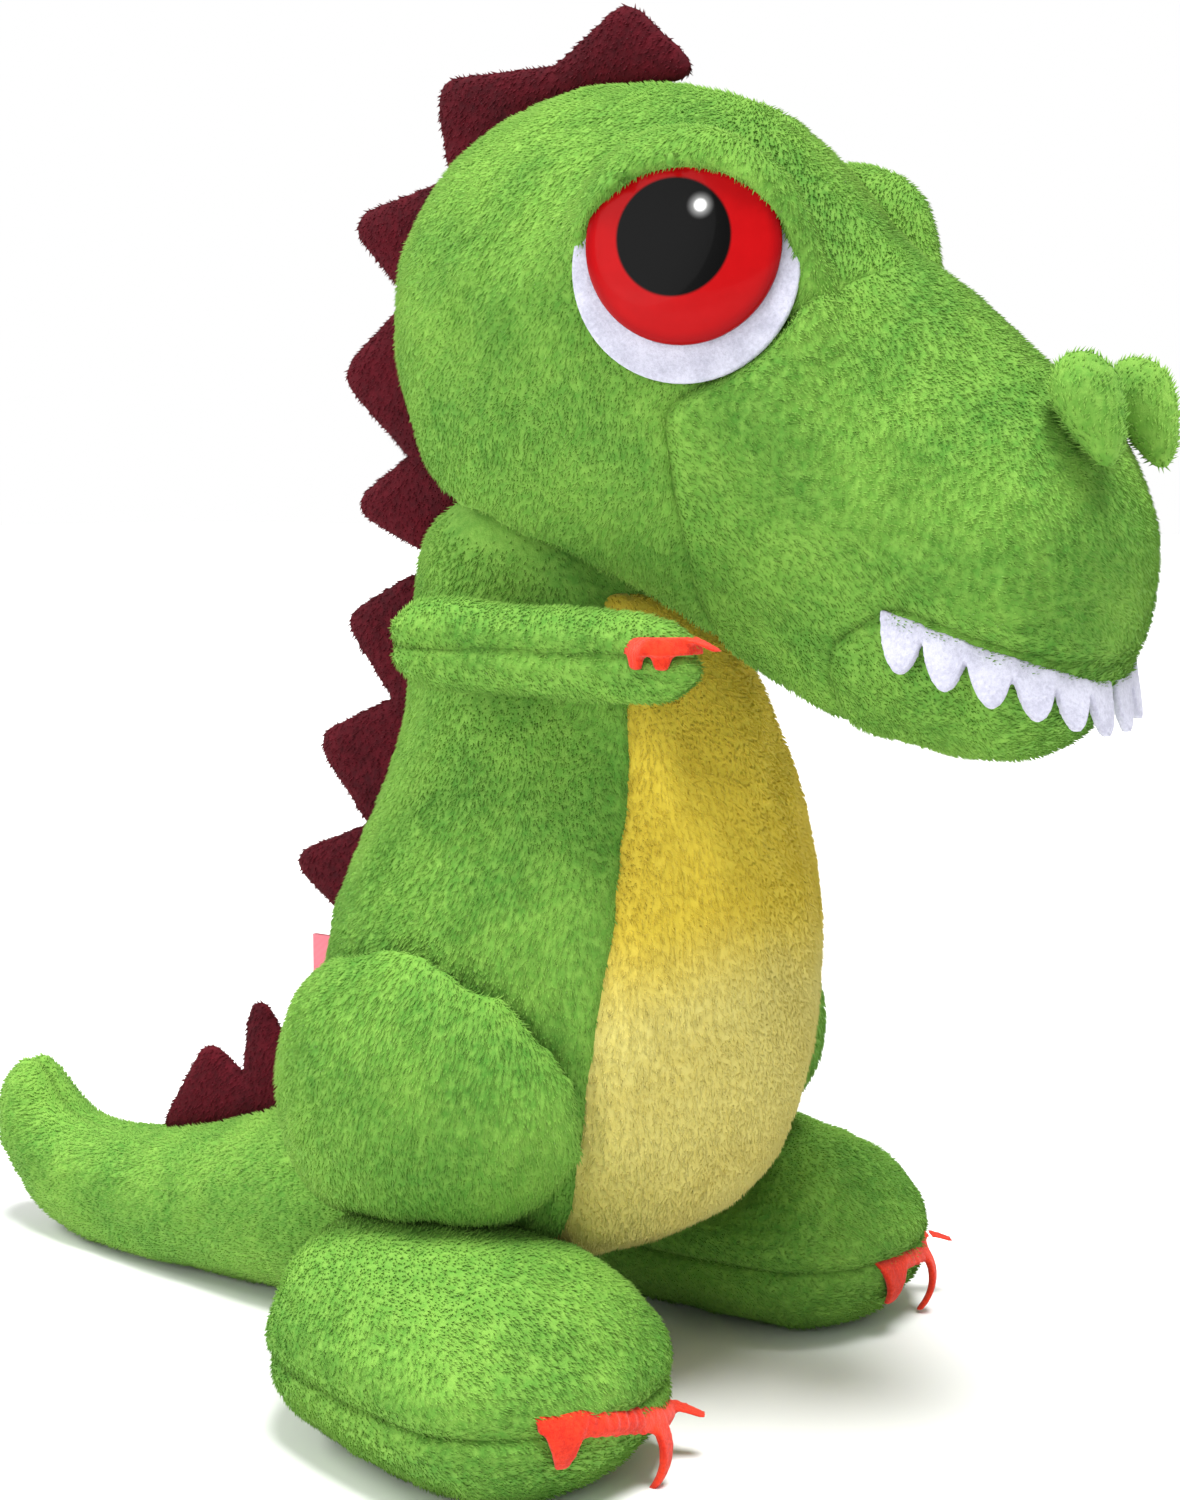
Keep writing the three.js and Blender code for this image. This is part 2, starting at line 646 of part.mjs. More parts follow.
// A flat band with its length across, pulled down into teeth and bent round the lip.
function teethStrip() {
  const lip = lipCurve(1.6);
  const strip = new THREE.BoxGeometry(1, 1, FELT, TEETH * 6, 2, 1);
  const place = strip.attributes.position;
  const vertex = new THREE.Vector3();
  for (let i = 0; i < place.count; i += 1) {
    vertex.fromBufferAttribute(place, i);
    const share = THREE.MathUtils.clamp(vertex.x + 0.5, 0, 1);
    const drop = THREE.MathUtils.lerp(TOOTH_ROOT, TOOTH_TIP, toothReach(share));
    const at = lip.getPointAt(share);
    const along = lip.getTangentAt(share).setZ(0).normalize();
    const down = THREE.MathUtils.lerp(drop, 0, vertex.y + 0.5);
    place.setXYZ(i, at.x + along.y * vertex.z, at.y - along.x * vertex.z, at.z - down);
  }
  return solidOf(strip);
}

function makeTeeth() {
  const keepOff = headVolume(-GAP).add(centreSlab(1));
  addPair('teeth_strip', teethStrip().subtract(keepOff), whiteFelt);
}

// ---- crests ---------------------------------------------------------------------------------------

// Each spike is [tip y, tip z, next valley y, next valley z]; the strip starts at one point.
function crestSolid(start, spikes, rootLine) {
  const shape = new THREE.Shape();
  shape.moveTo(...start);
  let from = new THREE.Vector2(...start);
  spikes.forEach(([tipY, tipZ, valleyY, valleyZ]) => {
    const tip = new THREE.Vector2(tipY, tipZ);
    const valley = new THREE.Vector2(valleyY, valleyZ);
    const shoulder = from.clone().lerp(tip, 0.86);
    const falling = tip.clone().lerp(valley, 0.14);
    shape.lineTo(shoulder.x, shoulder.y);
    shape.quadraticCurveTo(tip.x, tip.y, falling.x, falling.y);
    shape.lineTo(valley.x, valley.y);
    from = valley;
  });
  rootLine.forEach(([y, z]) => shape.lineTo(y, z));
  const geometry = new THREE.ExtrudeGeometry(shape, { depth: CREST_THICK, bevelEnabled: false, curveSegments: 3 });
  geometry.translate(0, 0, -CREST_THICK / 2);
  geometry.applyMatrix4(SIDE_VIEW);
  return solidOf(geometry);
}

const HEAD_SPIKES = [
  [-7, HEIGHT, 6, 206.5],
  [29, 206.5, 26, 191],
  [47.5, 186, 34.5, 173],
  [50, 161, 34.5, 147],
  [47.5, 139, 33, 132.5],
];
const BACK_SPIKES = [
  [49.5, 119.5, 38.5, 106],
  [56.5, 98.5, 44, 84],
  [62.5, 77, 47, 66],
];
const TAIL_SPIKES = [
  [73, 50.5, 75.5, 34],
  [85, 40, 99, 19],
];

function makeCrests() {
  const headCrest = crestSolid([-19, 204], HEAD_SPIKES, [[24, 136], [16, 165], [8, 185], [-5, 193]]);
  addPiece('head_crest', headCrest.subtract(headVolume(-GAP)).subtract(roomForTorsoInHead), crestPlush);
  const noddingHead = sweptBy(stuffed(HEAD, CLEAR, 0, COARSE), neckPoint, X_AXIS, neckAngles);
  const backCrest = crestSolid([35.5, 126.5], BACK_SPIKES, [[30, 65], [20, 103]]);
  addPiece('back_crest', backCrest.subtract(torsoVolume(-GAP)).subtract(noddingHead), crestPlush);
  const tailCrest = crestSolid([58, 31], TAIL_SPIKES, [[90, 8], [58, 13]]);
  addPiece('tail_crest', tailCrest.subtract(tailVolume(-GAP)).subtract(roomForHipsInTail), crestPlush);
}

// ---- label ----------------------------------------------------------------------------------------

// A small folded ribbon caught in the back seam, blank on both faces.
function makeLabel() {
  const leaf = prism([[40, 56], [58, 58], [59.5, 59.5], [59.5, 63], [58, 64], [40, 63]], SIDE_VIEW, -0.7, 0.7);
  addPiece('sewn_label', leaf.subtract(torsoVolume(-GAP)), labelRibbon);
}

makeTorso();
makeThighs();
makeFeet();
makeArms();
makeTail();
makeHead();
makeEyes();
makeNostrils();
makeTeeth();
makeCrests();
makeLabel();

// The parts are drawn about the middle of the body; the origin is the middle of the whole footprint.
dinosaur.position.y = -MIDDLE_Y;

export default dinosaur;
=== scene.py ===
# %% [markdown]
# A stuffed plush dinosaur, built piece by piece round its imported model.
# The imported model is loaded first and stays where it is. Every plush panel, felt trim and eye
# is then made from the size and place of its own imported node, in metres.

import json
import math
from contextlib import contextmanager

import bmesh
import bpy
import numpy as np
from mathutils import Matrix, Vector
from mathutils.bvhtree import BVHTree

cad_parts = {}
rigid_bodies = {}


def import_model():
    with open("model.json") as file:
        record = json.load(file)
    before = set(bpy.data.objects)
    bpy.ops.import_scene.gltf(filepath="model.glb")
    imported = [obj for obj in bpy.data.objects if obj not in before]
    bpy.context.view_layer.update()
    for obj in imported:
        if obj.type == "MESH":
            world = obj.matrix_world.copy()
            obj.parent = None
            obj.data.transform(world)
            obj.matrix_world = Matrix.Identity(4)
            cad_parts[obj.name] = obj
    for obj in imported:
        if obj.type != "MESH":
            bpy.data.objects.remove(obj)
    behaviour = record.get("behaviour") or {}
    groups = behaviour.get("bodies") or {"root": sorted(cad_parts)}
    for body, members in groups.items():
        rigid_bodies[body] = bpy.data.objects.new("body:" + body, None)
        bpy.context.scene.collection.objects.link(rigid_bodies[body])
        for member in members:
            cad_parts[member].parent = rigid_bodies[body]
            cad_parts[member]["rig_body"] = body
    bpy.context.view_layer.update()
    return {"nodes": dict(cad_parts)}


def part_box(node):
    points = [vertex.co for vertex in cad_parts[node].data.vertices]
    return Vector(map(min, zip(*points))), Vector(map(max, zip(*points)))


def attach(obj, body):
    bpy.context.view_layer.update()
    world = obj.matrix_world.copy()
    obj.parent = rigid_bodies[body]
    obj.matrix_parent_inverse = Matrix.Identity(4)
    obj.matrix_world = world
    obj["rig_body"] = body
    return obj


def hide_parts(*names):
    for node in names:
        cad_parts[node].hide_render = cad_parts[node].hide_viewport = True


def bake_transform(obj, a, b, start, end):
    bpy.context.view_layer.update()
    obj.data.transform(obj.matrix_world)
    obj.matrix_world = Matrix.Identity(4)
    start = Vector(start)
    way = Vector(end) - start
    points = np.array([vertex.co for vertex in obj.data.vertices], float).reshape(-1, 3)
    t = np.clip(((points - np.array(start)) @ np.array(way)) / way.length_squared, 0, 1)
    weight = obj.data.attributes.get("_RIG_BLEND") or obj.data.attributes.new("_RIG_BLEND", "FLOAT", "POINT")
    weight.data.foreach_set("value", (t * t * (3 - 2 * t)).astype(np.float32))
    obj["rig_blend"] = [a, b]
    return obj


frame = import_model()
scene = bpy.context.scene
MM = 0.001

# %% [markdown]
# The camera stands low at the front left corner of the toy, as for a catalogue picture.
# It could be aimed by eye, but here it is worked out from a target in the middle of the toy, an
# angle round it and a distance, so that its place is easy to read and to change.

# %% Camera
AZIMUTH, ELEVATION = math.radians(-55), math.radians(6)
TARGET = Vector((0, -21.4, 103)) * MM
DISTANCE = 0.38
FOCAL_LENGTH, SHIFT = 57.0, -0.0113


def direction(turn, rise):
    """The way from -Y, turned about the vertical and then raised."""
    flat = math.cos(rise)
    return Vector((math.sin(turn) * flat, -math.cos(turn) * flat, math.sin(rise)))


BACK = direction(AZIMUTH, ELEVATION)

camera_data = bpy.data.cameras.new("camera")
camera = bpy.data.objects.new("camera", camera_data)
scene.collection.objects.link(camera)
camera.location = TARGET + BACK * DISTANCE
camera.rotation_mode = "QUATERNION"
camera.rotation_quaternion = (-BACK).to_track_quat("-Z", "Y")
camera_data.sensor_width = 36
camera_data.lens = FOCAL_LENGTH
camera_data.shift_y = SHIFT
camera_data.clip_start = 0.01
scene.camera = camera
print("camera", [round(x, 3) for x in camera.location])

# %% [markdown]
# Node trees are long to write by hand. A small class adds nodes to a tree, and a second one wraps
# the number that comes out of a socket, so that sums on it are written as plain Python sums.


# %% Node trees written as sums
class Signal:
    """A number, colour or vector on its way through a node tree."""

    def __init__(self, graph, socket):
        self.graph, self.socket = graph, socket

    def _maths(self, operation, first, second):
        return self.graph.add("ShaderNodeMath", {"operation": operation}, {0: first, 1: second})

    def __add__(self, other):
        return self._maths("ADD", self, other)

    def __sub__(self, other):
        return self._maths("SUBTRACT", self, other)

    def __mul__(self, other):
        return self._maths("MULTIPLY", self, other)


class Graph:
    """A node tree, with one method that adds any node to it."""

    def __init__(self, tree):
        self.tree = tree

    def add(self, kind, settings=None, inputs=None, output=0):
        node = self.tree.nodes.new(kind)
        for key, value in (settings or {}).items():
            if key == "stops":
                self._stops(node.color_ramp, value)
            else:
                setattr(node, key, value)
        for key, value in (inputs or {}).items():
            if isinstance(value, Signal):
                self.tree.links.new(value.socket, node.inputs[key])
            else:
                node.inputs[key].default_value = value
        return None if output is None else Signal(self, node.outputs[output])

    @staticmethod
    def _stops(ramp, stops):
        while len(ramp.elements) < len(stops):
            ramp.elements.new(0.5)
        for element, (place, value) in zip(ramp.elements, stops, strict=True):
            element.position = place
            element.color = (value, value, value, 1)

    def vector(self, operation, first, second):
        return self.add("ShaderNodeVectorMath", {"operation": operation}, {0: first, 1: second})

    def scaled(self, vector, factor):
        inputs = {0: vector, "Scale": factor}
        return self.add("ShaderNodeVectorMath", {"operation": "SCALE"}, inputs)

    def ramp(self, share, *stops):
        return self.add("ShaderNodeValToRGB", {"stops": stops}, {0: share})


class Finish(Graph):
    """A material, its place on the object, and its Principled shader."""

    def __init__(self, name, **constants):
        self.material = bpy.data.materials.new(name)
        self.material.use_nodes = True
        super().__init__(self.material.node_tree)
        self.shader = self.tree.nodes["Principled BSDF"]
        self.place = self.add("ShaderNodeTexCoord", {}, {}, "Object")
        for key, value in constants.items():
            self.shader.inputs[key.replace("_", " ")].default_value = value

    def noise(self, scale, detail=2.0, roughness=0.5):
        inputs = {"Vector": self.place, "Scale": scale, "Detail": detail, "Roughness": roughness}
        return self.add("ShaderNodeTexNoise", {}, inputs)

    def mix(self, share, first, second):
        node = {"data_type": "RGBA"}
        return self.add("ShaderNodeMix", node, {0: share, 6: first, 7: second}, 2)

    def feed(self, name, signal):
        self.tree.links.new(signal.socket, self.shader.inputs[name])

    def bump(self, height, distance, strength=1.0):
        inputs = {"Height": height, "Distance": distance, "Strength": strength}
        self.feed("Normal", self.add("ShaderNodeBump", {}, inputs))


def colour(red, green, blue):
    """A screen colour from 0 to 255, as the linear numbers a shader works with."""
    def linear(value):
        share = value / 255
        return share / 12.92 if share <= 0.04045 else ((share + 0.055) / 1.055) ** 2.4
    return (linear(red), linear(green), linear(blue), 1.0)


print("node helpers ready")

# %% [markdown]
# The plush is a knitted cloth with a short dense pile. Its colour is never even: brushed patches
# look lighter or darker, and each tuft is deeper at its root than at its tip. One recipe makes the
# finish of the cloth, with a bump for its fibres, and of the tufts on it, which know how far up
# the tuft a point is from an attribute on their mesh. Up the belly the yellow is darkened to gold
# as painted shade, for the shadow of the head above it.


# %% Plush finishes
def plush_finish(name, deep, middle, light, tufts, painted_shade=None):
    sheen = {"Sheen_Weight": 0.3, "Sheen_Roughness": 0.5, "Sheen_Tint": light}
    finish = Finish(name, Roughness=0.85, Specular_IOR_Level=0.15, **sheen)
    patches = finish.ramp(finish.noise(70, 3), (0.36, 0), (0.64, 1))
    streaks = finish.ramp(finish.noise(620, 2), (0.35, 0), (0.68, 1))
    base = finish.mix(patches * PATCHY + streaks * STREAKY, deep, middle)
    if tufts:
        tip = finish.add("ShaderNodeAttribute", {"attribute_name": "tip"}, {}, "Fac")
        lit = finish.mix(tip * TIP_LIGHT + patches * PATCH_LIGHT, base, light)
    else:
        lit = finish.mix(streaks * 0.2, base, light)
        finish.bump(finish.noise(900, 4, roughness=0.7), 0.5 * MM, 0.7)
    # Painted shade: above a wavy height the colour is multiplied by a dark gold, for the shade the head
    # casts on the upper belly.
    if painted_shade:
        height = finish.add("ShaderNodeSeparateXYZ", {}, {0: finish.place}, "Z")
        edge = height + (finish.noise(35, 2) - 0.5) * SHADE_WAVE
        inputs = {"Value": edge, 1: SHADE_FROM, 2: SHADE_TO, 3: 0.0, 4: 1.0}
        share = finish.add("ShaderNodeMapRange", {"interpolation_type": "SMOOTHSTEP"}, inputs)
        shade_blend = {"data_type": "RGBA", "blend_type": "MULTIPLY"}
        lit = finish.add("ShaderNodeMix", shade_blend, {0: share, 6: lit, 7: painted_shade}, 2)
    finish.feed("Base Color", lit)
    return finish.material


PATCHY, STREAKY, TIP_LIGHT, PATCH_LIGHT = 0.55, 0.3, 0.22, 0.14
# Heights over which the painted shade under the head fades in, and how far its edge wavers.
SHADE_FROM, SHADE_TO, SHADE_WAVE = 62 * MM, 80 * MM, 12 * MM
GREEN = (colour(80, 134, 48), colour(120, 168, 66), colour(156, 194, 94))
YELLOW = (colour(200, 186, 100), colour(212, 200, 114), colour(222, 214, 140))
# The dark gold that paints the shade under the head onto the upper belly.
UNDER_HEAD_SHADE = (1.0, 0.88, 0.3, 1)
MAROON = (colour(52, 4, 13), colour(80, 6, 20), colour(104, 14, 30))

green_cloth = plush_finish("green_cloth", *GREEN, tufts=False)
green_pile = plush_finish("green_pile", *GREEN, tufts=True)
yellow_cloth = plush_finish("yellow_cloth", *YELLOW, tufts=False, painted_shade=UNDER_HEAD_SHADE)
yellow_pile = plush_finish("yellow_pile", *YELLOW, tufts=True, painted_shade=UNDER_HEAD_SHADE)
maroon_cloth = plush_finish("maroon_cloth", *MAROON, tufts=False)
maroon_pile = plush_finish("maroon_pile", *MAROON, tufts=True)
print("plush finishes:", len(bpy.data.materials))

# %% [markdown]
# The teeth, the claws and the whites of the eyes are cut from felt: matted short fibres with no
# direction. Two noises at the size of a fibre and of a matted lump make it, both as colour and
# as bump.


# %% Felt, filling and ribbon finishes
def felt_finish(name, deep, light):
    finish = Finish(name, Roughness=0.95, Sheen_Weight=0.15, Specular_IOR_Level=0.1)
    fibres = finish.noise(1800, 4, roughness=0.75)
    lumps = finish.noise(260, 2)
    share = finish.ramp(fibres * 0.6 + lumps * 0.4, (0.38, 0), (0.6, 1))
    finish.feed("Base Color", finish.mix(share, deep, light))
    finish.bump(fibres + lumps * 0.6, 0.35 * MM, 0.8)
    return finish.material


white_felt = felt_finish("white_felt", colour(176, 176, 194), colour(206, 206, 222))
orange_felt = felt_finish("orange_felt", colour(196, 38, 22), colour(232, 62, 34))
fibre_fill = felt_finish("fibre_fill", colour(226, 224, 216), colour(248, 247, 242))
pellet_cloth = felt_finish("pellet_cloth", colour(196, 190, 172), colour(222, 217, 201))


def ribbon_finish():
    finish = Finish("label_ribbon", Roughness=0.5)
    inputs = {"Vector": finish.place, "Scale": 1500.0, "Distortion": 0.3}
    weave = finish.add("ShaderNodeTexWave", {"bands_direction": "Z"}, inputs, "Fac")
    finish.feed("Base Color", finish.mix(weave, colour(206, 84, 104), colour(232, 128, 140)))
    finish.bump(weave, 0.1 * MM, 0.5)
    return finish.material


def washer_finish():
    finish = Finish("washer_plastic", Roughness=0.4)
    cloudy = finish.noise(300, 2)
    finish.feed("Base Color", finish.mix(cloudy, colour(214, 216, 214), colour(238, 239, 236)))
    return finish.material


label_ribbon = ribbon_finish()
washer_plastic = washer_finish()
print("all plain finishes ready")

# %% [markdown]
# Every stuffed part of the toy is a bag of sewn panels blown tight by its stuffing. It could be
# drawn as one smooth blob, but then it has no seams. Here the panels and the stuffing of a part
# are copied, joined into one skin by a voxel remesh, and smoothed. The seams come back later.


# %% Joining panels into one skin
@contextmanager
def opened(piece):
    """Opens a piece's mesh as a bmesh and writes it back afterwards."""
    shell = bmesh.new()
    shell.from_mesh(piece.data)
    yield shell
    shell.to_mesh(piece.data)
    shell.free()


def smoothed(shell, times):
    """Moves every vertex half way to the middle of its neighbours, several times."""
    axes = {f"use_axis_{axis}": True for axis in "xyz"}
    for _ in range(times):
        bmesh.ops.smooth_vert(shell, verts=shell.verts, factor=0.5, **axes)


def shaded_smooth(piece):
    for polygon in piece.data.polygons:
        polygon.use_smooth = True


def new_piece(name, shell):
    """Writes a bmesh into a new object and frees it."""
    mesh = bpy.data.meshes.new(name)
    shell.to_mesh(mesh)
    shell.free()
    piece = bpy.data.objects.new(name, mesh)
    scene.collection.objects.link(piece)
    return piece


def applied(piece):
    """The piece with its modifiers made part of its mesh."""
    graph = bpy.context.evaluated_depsgraph_get()
    graph.update()
    mesh = bpy.data.meshes.new_from_object(piece.evaluated_get(graph))
    piece.modifiers.clear()
    old, piece.data = piece.data, mesh
    bpy.data.meshes.remove(old)
    return piece


def modified(piece, kind, **settings):
    """The piece after one modifier, which is made part of its mesh."""
    step = piece.modifiers.new(kind.lower(), kind)
    for key, value in settings.items():
        setattr(step, key, value)
    return applied(piece)


def remeshed(piece, voxel):
    return modified(piece, "REMESH", mode="VOXEL", voxel_size=voxel)


def keep_largest(shell):
    """Drops every loose part of a bmesh but the one with most vertices."""
    left, parts = set(shell.verts), []
    while left:
        part, edge = set(), [left.pop()]
        while edge:
            vert = edge.pop()
            part.add(vert)
            near = {e.other_vert(vert) for e in vert.link_edges} & left
            left -= near
            edge.extend(near)
        parts.append(part)
    parts.sort(key=len)
    spare = [vert for part in parts[:-1] for vert in part]
    bmesh.ops.delete(shell, geom=spare, context="VERTS")


def skin_of(name, nodes, voxel, smooth, extra=()):
    """One closed smooth skin round copies of CAD nodes and any extra solids."""
    shell = bmesh.new()
    for node in nodes:
        shell.from_mesh(frame["nodes"][node].data)
    for solid in extra:
        shell.from_mesh(solid.data)
        bpy.data.objects.remove(solid)
    bmesh.ops.remove_doubles(shell, verts=shell.verts, dist=0.001 * MM)
    piece = remeshed(new_piece(name, shell), voxel)
    with opened(piece) as shell:
        keep_largest(shell)
        smoothed(shell, smooth)
        bmesh.ops.recalc_face_normals(shell, faces=shell.faces)
    print(name, "skin:", len(piece.data.polygons), "faces")
    return piece


# %% [markdown]
# The brow is a fold of the skull cap that hangs over the top of each eye: a padded bulge with a
# round bite out of it for the eye. A stretched sphere makes the bulge, and a cylinder takes the
# bite. The remesh of the head then melts it into the skull.

# %% The way each eye looks
EYE_YAW, EYE_PITCH = math.radians(70), math.radians(3)
DISC_RISE = 2.8 * MM
WHITE_RADIUS, DISC_RADIUS = 16.4 * MM, 14 * MM
FELT_HALF = 0.6 * MM


def axes_at(place, across, up, out):
    """A matrix that sets something drawn flat in its place, facing out."""
    matrix = Matrix((across, up, out)).transposed().to_4x4()
    matrix.translation = place
    return matrix


def eye_axes(side):
    """Columns: across the eye, up it, and the way it looks. The origin is the white's front."""
    look = direction(side * EYE_YAW, EYE_PITCH)
    across = Vector((0, 0, 1)).cross(look).normalized()
    up = look.cross(across)
    low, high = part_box("eye_white_right" if side < 0 else "eye_white_left")
    return axes_at((low + high) / 2 + look * FELT_HALF, across, up, look)


EYES = {"right": eye_axes(-1), "left": eye_axes(1)}
print("eyes look along", [round(x, 2) for x in EYES["right"].col[2][:3]])


# %% Brow bulges
BROW_SIZE = (18.5 * MM, 17.5 * MM, 11.2 * MM)
BROW_PLACE = (0, 4 * MM, -2.6 * MM)
BROW_FOOT = (0, -1.5 * MM, 0)
LID_RADIUS, LID_DROP, LID_DEPTH = 16.2 * MM, 3.9 * MM, 60 * MM


def brow(side):
    bulge = bmesh.new()
    bmesh.ops.create_icosphere(bulge, subdivisions=4, radius=1)
    bmesh.ops.scale(bulge, vec=BROW_SIZE, verts=bulge.verts)
    bmesh.ops.translate(bulge, vec=BROW_PLACE, verts=bulge.verts)
    solid = new_piece(f"brow_{side}", bulge)
    bite = bmesh.new()
    radii = {"radius1": LID_RADIUS, "radius2": LID_RADIUS}
    bmesh.ops.create_cone(bite, cap_ends=True, segments=64, depth=LID_DEPTH, **radii)
    bmesh.ops.translate(bite, vec=(0, -LID_DROP, 0), verts=bite.verts)
    opening = new_piece("lid_opening", bite)
    modified(solid, "BOOLEAN", operation="DIFFERENCE", object=opening)
    bpy.data.objects.remove(opening)
    with opened(solid) as shell:
        below = bmesh.ops.bisect_plane(
            shell,
            geom=[*shell.verts, *shell.edges, *shell.faces],
            plane_co=BROW_FOOT,
            plane_no=(0, -1, 0),
            clear_outer=True,
        )
        rim = [e for e in below["geom_cut"] if isinstance(e, bmesh.types.BMEdge)]
        bmesh.ops.holes_fill(shell, edges=rim)
        bmesh.ops.transform(shell, matrix=EYES[side], verts=shell.verts)
        bmesh.ops.recalc_face_normals(shell, faces=shell.faces)
    return solid


brows = [brow("right"), brow("left")]
print("brow faces:", [len(b.data.polygons) for b in brows])

# %% [markdown]
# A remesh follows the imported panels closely, but a sewn snout is drawn in by its stitches: it
# slopes back under the nostrils, and it dips where it meets the brow. Both are soft pulls on the
# skin, each strongest in one place and fading out round it.

# %% Pulls on the head
SNOUT_PULL, SNOUT_FROM, SNOUT_TO = 3.2 * MM, 146 * MM, 118 * MM
SNOUT_BACK, SNOUT_FRONT = -94 * MM, -112 * MM
DIP_PULL, DIP_PLACE, DIP_REACH = 8.5 * MM, -75 * MM, 14 * MM
DIP_LOW, DIP_HIGH = 142 * MM, 162 * MM
EYE_KEPT, EYE_CLEAR = 18.5 * MM, 22 * MM


def eased(value, start, end):
    """0 before start, 1 after end and an even curve between."""
    share = np.clip((value - start) / (end - start), 0, 1)
    return share * share * (3 - 2 * share)


def drawn_in(skin):
    """Pulls the skin of the head in under the nostrils and over the snout, but not at the eyes."""
    with opened(skin) as shell:
        for vert in shell.verts:
            _, y, z = vert.co
            under = float(eased(z, SNOUT_FROM, SNOUT_TO) * eased(y, SNOUT_BACK, SNOUT_FRONT))
            dip = math.exp(-(((y - DIP_PLACE) / DIP_REACH) ** 2))
            dip *= float(eased(z, DIP_LOW, DIP_HIGH))
            eye = min((vert.co - axes.translation).length for axes in EYES.values())
            dip *= float(eased(eye, EYE_KEPT, EYE_CLEAR))
            vert.co += Vector((0, SNOUT_PULL * under, -DIP_PULL * dip))
    return skin


def eased_out(skin, distance):
    """Moves a skin along its normals: inwards, to leave room for its pile, or outwards."""
    with opened(skin) as shell:
        shell.normal_update()
        for vert in shell.verts:
            vert.co += vert.normal * distance
    return skin


# %% [markdown]
# The tail is sewn into the back of the torso, so its root is drawn forwards into the cloth there.
# When the tail swings, the first stretch stays with the torso and the rest turns with the tail.

# %% Root of the tail
ROOT_PULL, ROOT_REACH, ROOT_BLEND = 6 * MM, 10 * MM, 14 * MM
tail_low, tail_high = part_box("tail_stuffing")
ROOT = Vector((0, tail_low.y, (tail_low.z + tail_high.z) / 2))
print("tail root, mm:", [round(x / MM, 1) for x in ROOT])


def rooted(skin):
    """Draws the front end of the tail forwards."""
    with opened(skin) as shell:
        front = min(vert.co.y for vert in shell.verts)
        for vert in shell.verts:
            vert.co.y -= ROOT_PULL * float(1 - eased(vert.co.y, front, front + ROOT_REACH))


# %% [markdown]
# Each skin is cut back into its sewn panels. Which panel a point belongs to is simply the packed
# panel it lies nearest to, and how far it is from the second nearest says how far it is from the
# seam between the two.


# %% Finding panels and seams
def tree_of(mesh):
    """A tree of a mesh's faces, which finds the nearest one to a point or along a ray."""
    shell = bmesh.new()
    shell.from_mesh(mesh)
    tree = BVHTree.FromBMesh(shell)
    shell.free()
    return tree


node_trees = {node: tree_of(packed.data) for node, packed in frame["nodes"].items()}
node_body = {node: packed["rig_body"] for node, packed in frame["nodes"].items()}
FAR_AWAY = 1.0
BOX_REACH = 10 * MM


def nearness(points, nodes):
    """One row a point: how far it is from each of the nodes."""
    trees = [node_trees[node] for node in nodes]
    return np.array([[tree.find_nearest(p)[3] for tree in trees] for p in points])


def room_round(points, body):
    """How far each point is from whatever rides on another body."""
    others = [n for n in node_trees if node_body[n] != body and node_reach(n, points)]
    if not others:
        return np.full(len(points), FAR_AWAY)
    return nearness(points, others).min(axis=1)


def node_reach(node, points):
    """Whether a node's box comes near the box of the points."""
    low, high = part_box(node)
    cloud = np.array(points)
    above = all(cloud.max(0) + BOX_REACH > np.array(low))
    return above and all(cloud.min(0) - BOX_REACH < np.array(high))


def seam_distance(points, panels):
    """How far each point is from the nearest seam between panels."""
    if len(panels) < 2:
        return np.full(len(points), FAR_AWAY)
    return np.sort(nearness(points, panels), axis=1)[:, 1]


print("nearest-point trees:", len(node_trees))

# %% [markdown]
# Stuffing swells the cloth between its seams. A short cloth simulation does that: the skin is
# blown up from inside while its seams, and any stretch close to a part that moves, are held.
# How far a point may move is capped, so that the part keeps its size. The pressure grows as the
# part gets smaller, because a narrow bag is harder to blow up than a wide one.

# %% Blowing up a skin
SWELL_TENSION = 0.1
CLOTH_MASS, CLOTH_STIFFNESS = 0.001, 0.5
CLOTH_BENDING, CLOTH_DAMPING = 0.01, 0.2
SIMULATED_FRAMES = 20
SEAM_HOLD, NEIGHBOUR_HOLD, HOLD_GAIN = 3 * (2.2 * MM), 2 * (5 * MM), 1.5


def ramp_down(distance, reach):
    return np.clip(1 - distance / reach, 0, 1)


